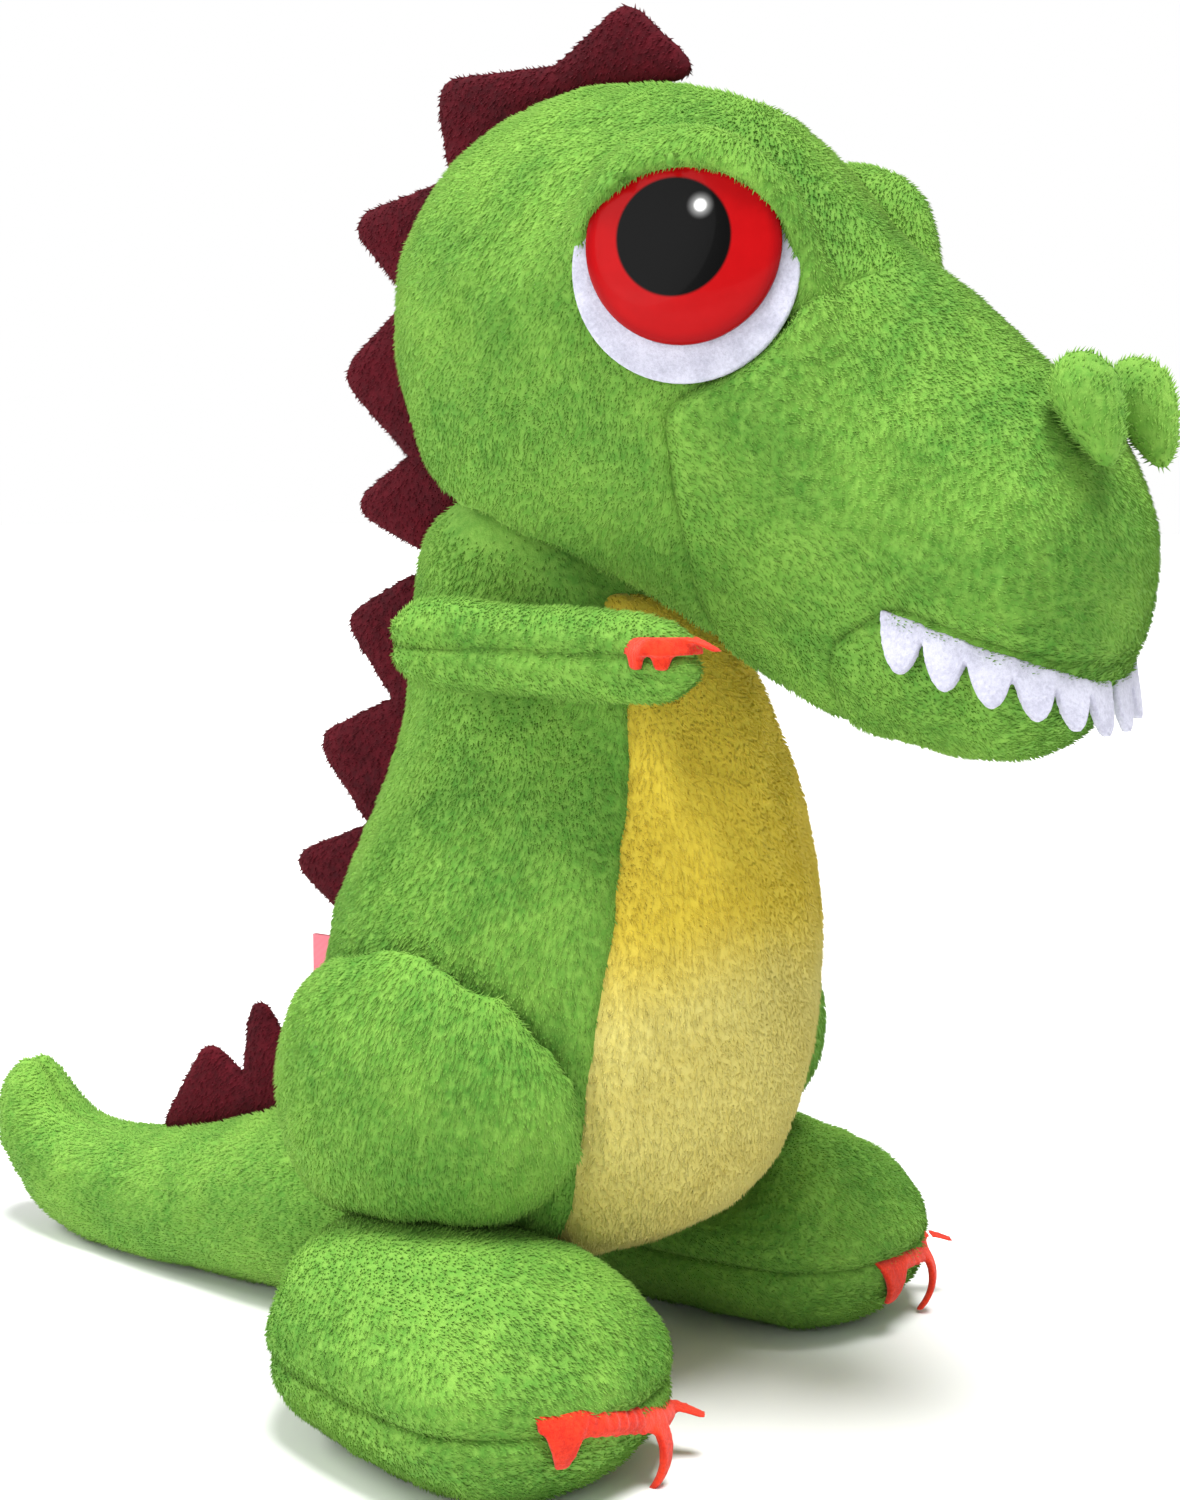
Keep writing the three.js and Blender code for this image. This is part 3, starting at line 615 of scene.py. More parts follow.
def puffed(piece, panels, body, cap, held_at=(), sewn_to=()):
    points = [v.co.copy() for v in piece.data.vertices]
    hold = ramp_down(seam_distance(points, panels), SEAM_HOLD)
    hold = np.maximum(hold, ramp_down(room_round(points, body), NEIGHBOUR_HOLD))
    if sewn_to:
        hold = np.maximum(hold, ramp_down(nearness(points, sewn_to).min(axis=1), NEIGHBOUR_HOLD))
    for centre, radius in held_at:
        away = np.linalg.norm(np.array(points) - np.array(centre), axis=1)
        hold = np.maximum(hold, (away < radius).astype(float))
    group = piece.vertex_groups.new(name="held")
    for i, weight in enumerate(hold):
        group.add([i], float(min(1.0, HOLD_GAIN * weight)), "REPLACE")
    cloth = piece.modifiers.new("cloth", "CLOTH")
    cloth.settings.use_pressure = True
    cloth.settings.uniform_pressure_force = SWELL_TENSION / (min(piece.dimensions) / 2)
    cloth.settings.effector_weights.gravity = 0
    cloth.settings.mass = CLOTH_MASS
    for kind, share in (("tension", 1), ("compression", 1), ("shear", 0.5)):
        setattr(cloth.settings, f"{kind}_stiffness", CLOTH_STIFFNESS * share)
        setattr(cloth.settings, f"{kind}_damping", CLOTH_DAMPING)
    cloth.settings.bending_stiffness = CLOTH_BENDING
    cloth.settings.vertex_group_mass = "held"
    cloth.point_cache.frame_start, cloth.point_cache.frame_end = 1, SIMULATED_FRAMES
    for frame_number in range(1, SIMULATED_FRAMES + 1):
        scene.frame_set(frame_number)
    graph = bpy.context.evaluated_depsgraph_get()
    swollen = piece.evaluated_get(graph)
    after = np.array([v.co for v in swollen.data.vertices])
    piece.modifiers.clear()
    piece.vertex_groups.clear()
    scene.frame_set(1)
    move = after - np.array(points)
    length = np.linalg.norm(move, axis=1)
    move *= (np.minimum(length, cap) / np.maximum(length, 1e-9))[:, None]
    piece.data.vertices.foreach_set("co", (np.array(points) + move).ravel())
    piece.data.update()
    print(piece.name, "swelled by", round(float(length.max()) / MM, 1), "mm, capped at", cap / MM)
    return piece


# %% [markdown]
# After one subdivision the skin is fine enough for its seams. A seam on plush is a soft groove:
# the pile parts over the thread. The groove is pressed in along the normals, a little of the
# lumpy stuffing is let through, and the skin is cut into panels along the grooves.

# %% Pressing seams and cutting panels
SEAM_DEPTH, SEAM_WIDTH = 1.1 * MM, 1.5 * MM
SEAM_CLEANING, SEAM_SMOOTHING = 4, 6
LUMP, LUMP_SIZE = 0.35 * MM, 9 * MM
BARE_ROOM, ROOM_RAMP = 2.2 * MM, 3 * MM
PARTING, PARTING_WIDTH = 0.5, 0.8 * MM


def grooved(piece, panels, body, floor=None):
    """Subdivides a skin, presses its seams and notes how much pile each point may carry."""
    modified(piece, "SUBSURF", levels=1, render_levels=1)
    lumps = bpy.data.textures.new(f"{piece.name}_lumps", "CLOUDS")
    lumps.noise_scale = LUMP_SIZE
    modified(piece, "DISPLACE", texture=lumps, strength=2 * LUMP, texture_coords="LOCAL")
    mesh = piece.data
    points = [v.co.copy() for v in mesh.vertices]
    seam = seam_distance(points, panels)
    normals = np.array([v.normal for v in mesh.vertices])
    depth = SEAM_DEPTH * np.exp(-((seam / SEAM_WIDTH) ** 2))
    places = np.array(points) - normals * depth[:, None]
    if floor is not None:
        places[:, 2] = np.maximum(places[:, 2], floor)
    mesh.vertices.foreach_set("co", places.ravel())
    room = room_round(points, body)
    carry = np.clip((room - BARE_ROOM) / ROOM_RAMP, 0, 1)
    carry *= 1 - PARTING * np.exp(-((seam / PARTING_WIDTH) ** 2))
    note = mesh.attributes.new("pile", "FLOAT", "POINT")
    note.data.foreach_set("value", carry.astype(np.float32))
    mesh.update()
    return piece


def panels_cut(piece, panels):
    """The skin's sewn panels, each as an object of its own, cut along smoothed seams."""
    centres = [p.center.copy() for p in piece.data.polygons]
    nearest = nearness(centres, panels).argmin(axis=1)
    whole = bmesh.new()
    whole.from_mesh(piece.data)
    whole.faces.ensure_lookup_table()
    layer = whole.faces.layers.int.new("panel")
    for face, index in zip(whole.faces, nearest, strict=True):
        face[layer] = int(index)
    for _ in range(SEAM_CLEANING):
        for face in whole.faces:
            beside = [f[layer] for e in face.edges for f in e.link_faces if f is not face]
            if beside and beside.count(face[layer]) < 2:
                face[layer] = max(set(beside), key=beside.count)
    rim = [v for v in whole.verts if len({f[layer] for f in v.link_faces}) > 1]
    rim_set = set(rim)
    for _ in range(SEAM_SMOOTHING):
        places = {}
        for vert in rim:
            others = [e.other_vert(vert) for e in vert.link_edges]
            beside = [other.co for other in others if other in rim_set]
            if len(beside) == 2:
                places[vert] = vert.co.lerp((beside[0] + beside[1]) / 2, 0.5)
        for vert, place in places.items():
            vert.co = place
    cut = {}
    for index, panel in enumerate(panels):
        part = whole.copy()
        part_layer = part.faces.layers.int["panel"]
        others = [f for f in part.faces if f[part_layer] != index]
        bmesh.ops.delete(part, geom=others, context="FACES")
        cut[panel] = new_piece(f"{panel}_plush", part)
    whole.free()
    bpy.data.objects.remove(piece)
    return cut


# %% [markdown]
# The pile is what makes plush plush, and it shows at every edge of the toy as a soft fuzz. It
# could be hair particles, but they can't leave Blender as a mesh. Here a tuft is a thin closed
# cone of four triangles, and a small geometry node tree sets thousands of them on a panel, all
# leaning one way, as the nap does, with a wobble from patch to patch.


# %% A tuft
TUFT_SUNK = 0.3 * MM


def make_tuft(name, length, radius):
    tuft = bmesh.new()
    bmesh.ops.create_cone(tuft, cap_ends=True, segments=3, radius1=radius, radius2=0, depth=length)
    bmesh.ops.remove_doubles(tuft, verts=tuft.verts, dist=0.001 * MM)
    bmesh.ops.translate(tuft, vec=(0, 0, length / 2 - TUFT_SUNK), verts=tuft.verts)
    bmesh.ops.recalc_face_normals(tuft, faces=tuft.faces)
    tip = tuft.verts.layers.float.new("tip")
    top = max(v.co.z for v in tuft.verts)
    for vert in tuft.verts:
        vert[tip] = 1.0 if vert.co.z > top - 0.01 * MM else 0.0
    for face in tuft.faces:
        face.smooth = True
    piece = new_piece(name, tuft)
    scene.collection.objects.unlink(piece)
    return piece


plush_tuft = make_tuft("plush_tuft", 1.3 * MM, 0.2 * MM)
short_tuft = make_tuft("short_tuft", 1.1 * MM, 0.24 * MM)
print("tuft triangles:", sum(len(p.vertices) - 2 for p in plush_tuft.data.polygons))


# %% Setting tufts on a panel
NAP_PATCH, NAP_WOBBLE, STRAY = 110.0, 1.6, 0.28
SHORTEST, LONGEST = 0.65, 1.15
CLOTH_THICKNESS = 1.0 * MM


def pile_tree(tuft, density, nap, lean, seed):
    tree = bpy.data.node_groups.new("pile", "GeometryNodeTree")
    tree.interface.new_socket("Skin", in_out="INPUT", socket_type="NodeSocketGeometry")
    tree.interface.new_socket("Pile", in_out="OUTPUT", socket_type="NodeSocketGeometry")
    graph = Graph(tree)
    skin = graph.add("NodeGroupInput")
    carry = graph.add("GeometryNodeInputNamedAttribute", {"data_type": "FLOAT"}, {"Name": "pile"})
    spread_inputs = {"Mesh": skin, "Density": carry * density, "Seed": seed}
    spread = graph.add("GeometryNodeDistributePointsOnFaces", {}, spread_inputs)
    normal = Signal(graph, spread.socket.node.outputs["Normal"])
    sunk = graph.vector("PROJECT", nap, normal)
    flat = graph.vector("NORMALIZE", graph.vector("SUBTRACT", nap, sunk), (0, 0, 0))
    wobble_inputs = {"Scale": NAP_PATCH, "Detail": 1.5}
    wobble = graph.add("ShaderNodeTexNoise", {}, wobble_inputs, "Color")
    wobble = graph.vector("SUBTRACT", wobble, (0.5, 0.5, 0.5))
    random_inputs = {0: (-1.0, -1.0, -1.0), 1: (1.0, 1.0, 1.0), "Seed": seed + 1}
    stray = graph.add("FunctionNodeRandomValue", {"data_type": "FLOAT_VECTOR"}, random_inputs)
    way = graph.vector("ADD", normal, graph.scaled(flat, lean))
    way = graph.vector("ADD", way, graph.scaled(wobble, NAP_WOBBLE))
    way = graph.vector("ADD", way, graph.scaled(stray, STRAY))
    turn = graph.add("FunctionNodeAlignRotationToVector", {"axis": "Z"}, {"Vector": way})
    size_inputs = {2: SHORTEST, 3: LONGEST, "Seed": seed + 2}
    size = graph.add("FunctionNodeRandomValue", {"data_type": "FLOAT"}, size_inputs, 1)
    shape = graph.add("GeometryNodeObjectInfo", {}, {"Object": tuft}, "Geometry")
    set_inputs = {"Points": spread, "Instance": shape, "Rotation": turn, "Scale": size}
    tufts = graph.add("GeometryNodeInstanceOnPoints", {}, set_inputs)
    whole = graph.add("GeometryNodeRealizeInstances", {}, {"Geometry": tufts})
    graph.add("NodeGroupOutput", {}, {"Pile": whole}, None)
    return tree


def with_pile(skin, finish, tuft, nap, density=3.0, lean=1.25, seed=1):
    """A new piece: the tufts that stand on a skin."""
    holder = skin.copy()
    holder.data = skin.data.copy()
    holder.name = skin.name.replace("_plush", "_pile")
    scene.collection.objects.link(holder)
    modified(holder, "NODES", node_group=pile_tree(tuft, density / (MM * MM), nap, lean, seed))
    mesh = holder.data
    for name in [a.name for a in mesh.attributes if a.name in ("pile", "panel")]:
        mesh.attributes.remove(mesh.attributes[name])
    mesh.materials.clear()
    mesh.materials.append(finish)
    return holder


def backed(skin, finish):
    """Gives a panel its cloth's thickness, inwards, and its finish."""
    modified(skin, "SOLIDIFY", thickness=CLOTH_THICKNESS, offset=-1)
    skin.data.materials.clear()
    skin.data.materials.append(finish)
    shaded_smooth(skin)


def belong(body, slot, *parts):
    """Says which body the parts ride on. The slot argument is not used."""
    for part in parts:
        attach(part, body)


def full_pile(skin):
    """Lets every point of a skin carry all of its pile."""
    note = skin.data.attributes.new("pile", "FLOAT", "POINT")
    note.data.foreach_set("value", np.ones(len(skin.data.vertices), np.float32))


print("pile tools ready")

# %% [markdown]
# Now every stuffed part goes through the same steps: one skin round its panels, a swell, seams,
# panels and pile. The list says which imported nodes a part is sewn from, which way its nap lies
# and how much it may swell. Thighs have one panel each; the sides of the body have two colours.

# %% Sewing every stuffed part
GREEN_SET = (green_cloth, green_pile, "green_plush")
YELLOW_SET = (yellow_cloth, yellow_pile, "yellow_plush")
DOWN, BACK_AND_DOWN, OUTWARD = (0, 0, -1), (0, 0.5, -1), (0, -1, -0.2)
TORSO_PANELS = ("flank_panel_right", "flank_panel_left", "belly_panel")
HEAD_PANELS = ("skull_panel_right", "skull_panel_left", "muzzle_panel", "jaw_panel")
SLEEVES = {s: (f"sleeve_top_{s}", f"sleeve_underside_{s}") for s in ("right", "left")}
STUFFED = [
    # name, body, panels, nap, then the most swell, the voxel and the ease in millimetres
    ("torso", "body", TORSO_PANELS, DOWN, 1.2, 3.2, -0.1),
    ("thigh_right", "body", ("thigh_panel_right",), DOWN, 1.0, 2.4, 0.2),
    ("thigh_left", "body", ("thigh_panel_left",), DOWN, 1.0, 2.4, 0.2),
    ("foot_right", "body", ("foot_upper_right", "foot_sole_right"), OUTWARD, 1.0, 2.6, 0.8),
    ("foot_left", "body", ("foot_upper_left", "foot_sole_left"), OUTWARD, 1.0, 2.6, 0.0),
    ("tail", "tail", ("tail_panel_right", "tail_panel_left"), (0, 1, -0.2), 0.8, 2.6, 0.4),
    ("arm_right", "right_arm", SLEEVES["right"], OUTWARD, 0.5, 1.6, -0.3),
    ("arm_left", "left_arm", SLEEVES["left"], OUTWARD, 0.5, 1.6, -0.3),
    ("head", "head", HEAD_PANELS, BACK_AND_DOWN, 0.8, 2.3, -1.0),
]
NAPS = {"muzzle_panel": (0, -1, -0.35), "jaw_panel": (0, -1, 0.1)}
FLOOR_CLEARANCE, EYE_HELD = 0.4 * MM, 26 * MM
THIGH_SMOOTHING, OTHER_SMOOTHING = 12, 3
SEWN_TO = {}
for side in ("right", "left"):
    SEWN_TO[f"thigh_{side}"] = (f"flank_panel_{side}", "belly_panel", f"foot_upper_{side}")
    SEWN_TO[f"foot_{side}"] = (f"thigh_panel_{side}",)


def stuffing_of(name):
    """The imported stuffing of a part: the side comes last in its name."""
    kind, _, side = name.replace("torso", "body").partition("_")
    return f"{kind}_stuffing_{side}".rstrip("_")


skin_trees, piled = {}, []
for number, (name, body, panels, nap, cap, voxel, ease) in enumerate(STUFFED):
    is_head, is_foot = name == "head", name.startswith("foot")
    smoothing = THIGH_SMOOTHING if name.startswith("thigh") else OTHER_SMOOTHING
    nodes = [*panels, stuffing_of(name)]
    skin = skin_of(name, nodes, voxel * MM, smoothing, brows if is_head else ())
    eased_out(skin, ease * MM)
    if is_head:
        drawn_in(skin)
    if name == "tail":
        rooted(skin)
    eyes = [(axes.translation, EYE_HELD) for axes in EYES.values()] if is_head else ()
    puffed(skin, panels, body, cap * MM, eyes, SEWN_TO.get(name, ()))
    grooved(skin, panels, body, FLOOR_CLEARANCE if is_foot else None)
    skin_trees[name] = tree_of(skin.data)
    for panel, piece in panels_cut(skin, panels).items():
        cloth, tufts, slot = YELLOW_SET if panel == "belly_panel" else GREEN_SET
        seed = 10 * number + len(piled)
        fur = with_pile(piece, tufts, plush_tuft, NAPS.get(panel, nap), seed=seed)
        backed(piece, cloth)
        for part in (piece, fur):
            if name == "tail":
                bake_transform(part, "body", "tail", start=ROOT, end=ROOT + Vector((0, ROOT_BLEND, 0)))
            else:
                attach(part, body)
        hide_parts(panel)
        piled.append(panel)
        print(panel, "cloth", len(piece.data.polygons), "tuft faces", len(fur.data.polygons))

# %% [markdown]
# The stuffing of the head follows its drawn-in snout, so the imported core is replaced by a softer
# one that has had the same two pulls and keeps clear of the cloth.

# %% Stuffing of the head
FILL_VOXEL, FILL_EASE = 3 * MM, -1.6 * MM
head_fill = skin_of("head_stuffing_fill", ["head_stuffing"], FILL_VOXEL, 2)
drawn_in(eased_out(head_fill, FILL_EASE))
head_fill.data.materials.append(fibre_fill)
shaded_smooth(head_fill)
belong("head", "fibre_fill", head_fill)
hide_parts("head_stuffing")

# %% [markdown]
# The nostrils are two scraps of the same plush, gathered at the foot and puffed at the top. They
# need no seams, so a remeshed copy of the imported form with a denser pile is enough.

# %% Nostrils
NOSTRIL_SET_BACK = Vector((0, 3.2, 0.3)) * MM
FINE_VOXEL = 0.9 * MM

for side in ("right", "left"):
    node = f"nostril_tuft_{side}"
    scrap = skin_of(f"{node}_plush", [node], FINE_VOXEL, 2)
    with opened(scrap) as shell:
        bmesh.ops.translate(shell, vec=NOSTRIL_SET_BACK, verts=shell.verts)
    full_pile(scrap)
    up = (0, -0.4, 1)
    fur = with_pile(scrap, green_pile, plush_tuft, up, density=1.6, lean=0.8, seed=300)
    scrap.data.materials.append(green_cloth)
    belong("head", "green_plush", scrap, fur)
    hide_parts(node)

# %% [markdown]
# The crest is a folded strip of short maroon plush with a row of soft spikes. A fine remesh of the
# packed strip rounds its cut edges over, as the fold does, and a shorter tuft covers it.

# %% Crest
CRESTS = {"head_crest": "head", "back_crest": "body", "tail_crest": "tail"}
RIM_PUSH = 1.7 * MM
ALONG_BACK = (0, 0.6, -0.6)


def rounded_rim(strip):
    """Pushes a strip's edge outwards in its plane: its valleys fill and its tips get rounder."""
    with opened(strip) as shell:
        shell.normal_update()
        for vert in shell.verts:
            out = Vector((0, vert.normal.y, vert.normal.z))
            vert.co += out * RIM_PUSH
        smoothed(shell, 3)


for node, body in CRESTS.items():
    strip = skin_of(f"{node}_plush", [node], FINE_VOXEL, 3)
    rounded_rim(strip)
    full_pile(strip)
    fur = with_pile(strip, maroon_pile, short_tuft, ALONG_BACK, density=1.7, lean=1.1, seed=400)
    strip.data.materials.append(maroon_cloth)
    shaded_smooth(strip)
    belong(body, "crest_plush", strip, fur)
    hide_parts(node)

# %% [markdown]
# Teeth are die-cut felt, a little over a millimetre thick, and hang from under the upper lip. They
# could be one bent strip, but each real tooth stands a little differently. A flat grid is drawn
# into one tooth, given its thickness, and set six times a side where rays meet the lip. Their
# tops slant with the lip, so that they make one line under it.

# %% Teeth
UP = Vector((0, 0, 1))
TEETH = 6
TOOTH_HEIGHT, TOOTH_FELT = 7.8 * MM, 1.3 * MM
LIP_CENTRE_Y, LIP_BACK_Z, LIP_FRONT_Z = -97 * MM, 125.5 * MM, 115.5 * MM
LIP_FROM, LIP_TO = math.radians(-30), math.radians(86)
NARROWING, ROUND_FROM, ROUND_REACH = 0.28, 0.35, 0.66
LEAN_IN, CROOKED, OVERLAP = -0.2, 0.05, 1.04
RISE, STAND_OFF = 0.3 * MM, 0.1 * MM
FELT_VOXEL = 0.3 * MM
RAY_START = 60 * MM


def lip_line(side, points=60):
    """Points of the skin along the lip, from the corner of the mouth round to the front."""
    line = []
    for i in range(points):
        share = i / (points - 1)
        angle = LIP_FROM + (LIP_TO - LIP_FROM) * share
        height = LIP_BACK_Z + (LIP_FRONT_Z - LIP_BACK_Z) * math.sin(share * math.pi / 2)
        out = Vector((side * math.cos(angle), -math.sin(angle), 0))
        start = Vector((0, LIP_CENTRE_Y, height)) + out * RAY_START
        line.append(skin_trees["head"].ray_cast(start, -out)[0])
    return line


def point_along(line, reach):
    """The point that lies a given length along a line, and the way the line goes there."""
    for a, b in zip(line, line[1:], strict=False):
        step = (b - a).length
        if reach <= step:
            return a.lerp(b, reach / step), (b - a).normalized()
        reach -= step
    return line[-1], (line[-1] - line[-2]).normalized()


def tooth_shape(width):
    tooth = bmesh.new()
    bmesh.ops.create_grid(tooth, x_segments=8, y_segments=8, size=0.5)
    for vert in tooth.verts:
        down = 0.5 - vert.co.y
        narrow = 1 - NARROWING * down
        past = max(0.0, (down - ROUND_FROM) / ROUND_REACH)
        rounding = math.sqrt(max(0.0, 1 - past**2))
        vert.co.x *= width * narrow * rounding
        vert.co.y = -down * TOOTH_HEIGHT
    bmesh.ops.solidify(tooth, geom=tooth.faces[:], thickness=TOOTH_FELT)
    bmesh.ops.recalc_face_normals(tooth, faces=tooth.faces)
    return tooth


def added(row, single, matrix):
    """Adds a bmesh to another one, in its own place, and frees it."""
    bmesh.ops.transform(single, matrix=matrix, verts=single.verts)
    mesh = bpy.data.meshes.new("single")
    single.to_mesh(mesh)
    single.free()
    row.from_mesh(mesh)
    bpy.data.meshes.remove(mesh)


def teeth_row(name, side):
    rng = np.random.default_rng(7)
    line = lip_line(side)
    length = sum((b - a).length for a, b in zip(line, line[1:], strict=False))
    row = bmesh.new()
    for i in range(TEETH):
        place, along = point_along(line, length * (i + 0.5) / TEETH)
        out = (UP * side).cross(along).normalized()
        crooked = Matrix.Rotation(rng.uniform(-CROOKED, CROOKED), 4, "Z")
        tilt = crooked @ Matrix.Rotation(LEAN_IN, 4, "X")
        turn = axes_at(place + UP * RISE + out * STAND_OFF, along, UP, out)
        added(row, tooth_shape(length / TEETH * OVERLAP), turn @ tilt)
    bmesh.ops.recalc_face_normals(row, faces=row.faces)
    teeth = remeshed(new_piece(name, row), FELT_VOXEL)
    print(name, "lip length, mm:", round(length / MM, 1))
    return teeth


def softened(piece, times):
    with opened(piece) as shell:
        smoothed(shell, times)
        bmesh.ops.recalc_face_normals(shell, faces=shell.faces)
        for face in shell.faces:
            face.smooth = True
    return piece


for word, side in (("right", -1), ("left", 1)):
    teeth = softened(teeth_row(f"teeth_strip_{word}_felt", side), 2)
    teeth.data.materials.append(white_felt)
    belong("head", "white_felt", teeth)
    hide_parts(f"teeth_strip_{word}")

# %% [markdown]
# The claws are one scrap of the same felt in orange on each paw: a low band caught in the seam of
# the toe, cut into points that bend down, with the last one sticking out past the toe. Each point
# is a flat grid drawn to its tip and bent; the band is a row of short wide ones without a tip.

# %% Felt claws
CLAW_FELT, CLAW_SUNK, CLAW_VOXEL = 1.2 * MM, 0.6 * MM, 0.32 * MM
CLAW_RAY = 80 * MM
# Each cut of felt: width and length in millimetres, droop in radians, taper.
BAND_STEP, BAND = 4, (7.0, 3.0, 1.0, 0.1)
TAB, PRONG, TIP = (9.0, 8.2, 1.5, 0.8), (4.6, 12, 1.5, 0.62), (6.4, 7.4, 0.25, 0.6)
FINGER, FINGERTIP = (6, 5, 1.2, 0.7), (6, 6.5, 0.3, 0.7)


def claw_shape(width, length, droop, taper):
    """A felt point that starts flat and bends down: reach runs from its foot to its tip."""
    claw = bmesh.new()
    bmesh.ops.create_grid(claw, x_segments=8, y_segments=10, size=0.5)
    for vert in claw.verts:
        reach = 0.5 - vert.co.y
        vert.co.x *= width * (1 - taper * reach**0.9)
        bend = droop * (0.35 + 0.65 * reach)
        out, down = length * reach * math.cos(bend), length * reach * math.sin(bend)
        vert.co.y, vert.co.z = -down, out
    bmesh.ops.solidify(claw, geom=claw.faces[:], thickness=CLAW_FELT)
    bmesh.ops.recalc_face_normals(claw, faces=claw.faces)
    return claw


def claws(name, tree, centre, points, band, fall):
    """One scrap of felt round a paw. Angles are in degrees from -Y, sizes in millimetres."""
    first, last = band
    count = round(abs(last - first) / BAND_STEP)
    stretch = [(first + (last - first) * i / (count - 1), *BAND) for i in range(count)]
    scrap = bmesh.new()
    for angle, width, length, droop, taper in [*stretch, *points]:
        out = direction(math.radians(angle), 0)
        share = (angle - first) / (last - first)
        height = UP * fall * (0.5 - share) * MM
        place = tree.ray_cast(centre + height + out * CLAW_RAY, -out)[0]
        matrix = axes_at(place - out * CLAW_SUNK, UP.cross(out), UP, out)
        added(scrap, claw_shape(width * MM, length * MM, droop, taper), matrix)
    bmesh.ops.recalc_face_normals(scrap, faces=scrap.faces)
    return softened(remeshed(new_piece(name, scrap), CLAW_VOXEL), 5)


HAND_POINTS = [(-108, *FINGER), (-60, *FINGER), (0, *FINGERTIP)]
MIRRORED_POINTS = [(-angle, *cut) for angle, *cut in HAND_POINTS]
RIGHT_FOOT_POINTS = [(-31, *TAB), (8, *PRONG), (30, *TIP)]
LEFT_FOOT_POINTS = [(-8, *TAB), (20, *PRONG), (40, *TIP)]
PAWS = [
    # limb, body, centre of the toe, ends of the band, angle and cut of each point, fall
    ("foot_right", "body", (-40.5, -31, 12.5), (-32, 30), RIGHT_FOOT_POINTS, 8),
    ("foot_left", "body", (40.5, -31, 12.5), (-6, 40), LEFT_FOOT_POINTS, 2),
    ("arm_right", "right_arm", (-31.5, -56, 121.5), (-118, -12), HAND_POINTS, 0),
    ("arm_left", "left_arm", (31.5, -56, 121.5), (12, 118), MIRRORED_POINTS, 0),
]
for limb, body, centre, band, points, fall in PAWS:
    kind, side = limb.replace("arm", "hand").split("_")
    node = f"{kind}_claws_{side}"
    paw = claws(f"{node}_felt", skin_trees[limb], Vector(centre) * MM, points, band, fall)
    paw.data.materials.append(orange_felt)
    belong(body, "orange_felt", paw)
    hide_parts(node)

# %% [markdown]
# An eye is a glossy plastic disc with a low dome, printed behind its clear face: a black pupil set
# a little high on a red iris. A small highlight with a soft glow round it is painted in the pupil.
# It sits on a larger felt white. Both are turned shapes, so each is half an outline spun round the
# eye's own axis.


# %% Eyes
PUPIL_PLACE, PUPIL_RADIUS = (-0.9 * MM, 0.7 * MM), 8.2 * MM
# The painted highlight: where it sits on the disc, and how bright its soft glow is.
PAINTED_HIGHLIGHT_PLACE, PAINTED_GLOW = (2.9 * MM, 4.9 * MM), 0.55


def spun(name, outline, matrix):
    """A closed solid: an outline of (radius, height) points spun round the eye's axis."""
    shell = bmesh.new()
    verts = [shell.verts.new((radius, 0, height)) for radius, height in outline]
    edges = [shell.edges.new(pair) for pair in zip(verts, verts[1:], strict=False)]
    axis = {"cent": (0, 0, 0), "axis": (0, 0, 1), "dvec": (0, 0, 0)}
    bmesh.ops.spin(shell, geom=verts + edges, angle=math.tau, steps=72, use_merge=True, **axis)
    bmesh.ops.remove_doubles(shell, verts=shell.verts, dist=0.005 * MM)
    bmesh.ops.transform(shell, matrix=matrix, verts=shell.verts)
    bmesh.ops.recalc_face_normals(shell, faces=shell.faces)
    for face in shell.faces:
        face.smooth = True
    return new_piece(name, shell)


def disc_outline():
    rim, rise, back, edge = 1.3 * MM, 2.4 * MM, 0.4 * MM, 0.5 * MM
    shank, tail = 2.6 * MM, -10 * MM
    dome = []
    for step in range(13):
        angle = math.pi / 2 * step / 12
        dome.append((DISC_RADIUS * math.cos(angle), rim + rise * math.sin(angle)))
    dome[-1] = (0.0, rim + rise)
    below = [(DISC_RADIUS - edge, back), (DISC_RADIUS, back + 0.4 * MM)]
    return [(0, tail), (shank, tail), (shank, back), *below, *dome]


def white_outline():
    edge, thick = 0.45 * MM, 1.2 * MM
    inner = WHITE_RADIUS - edge
    below = [(0, -thick), (inner, -thick), (WHITE_RADIUS, edge - thick)]
    bevel = (WHITE_RADIUS - 0.15 * MM, -0.1 * MM)
    return [*below, (WHITE_RADIUS, -edge), bevel, (inner, 0), (0, 0)]


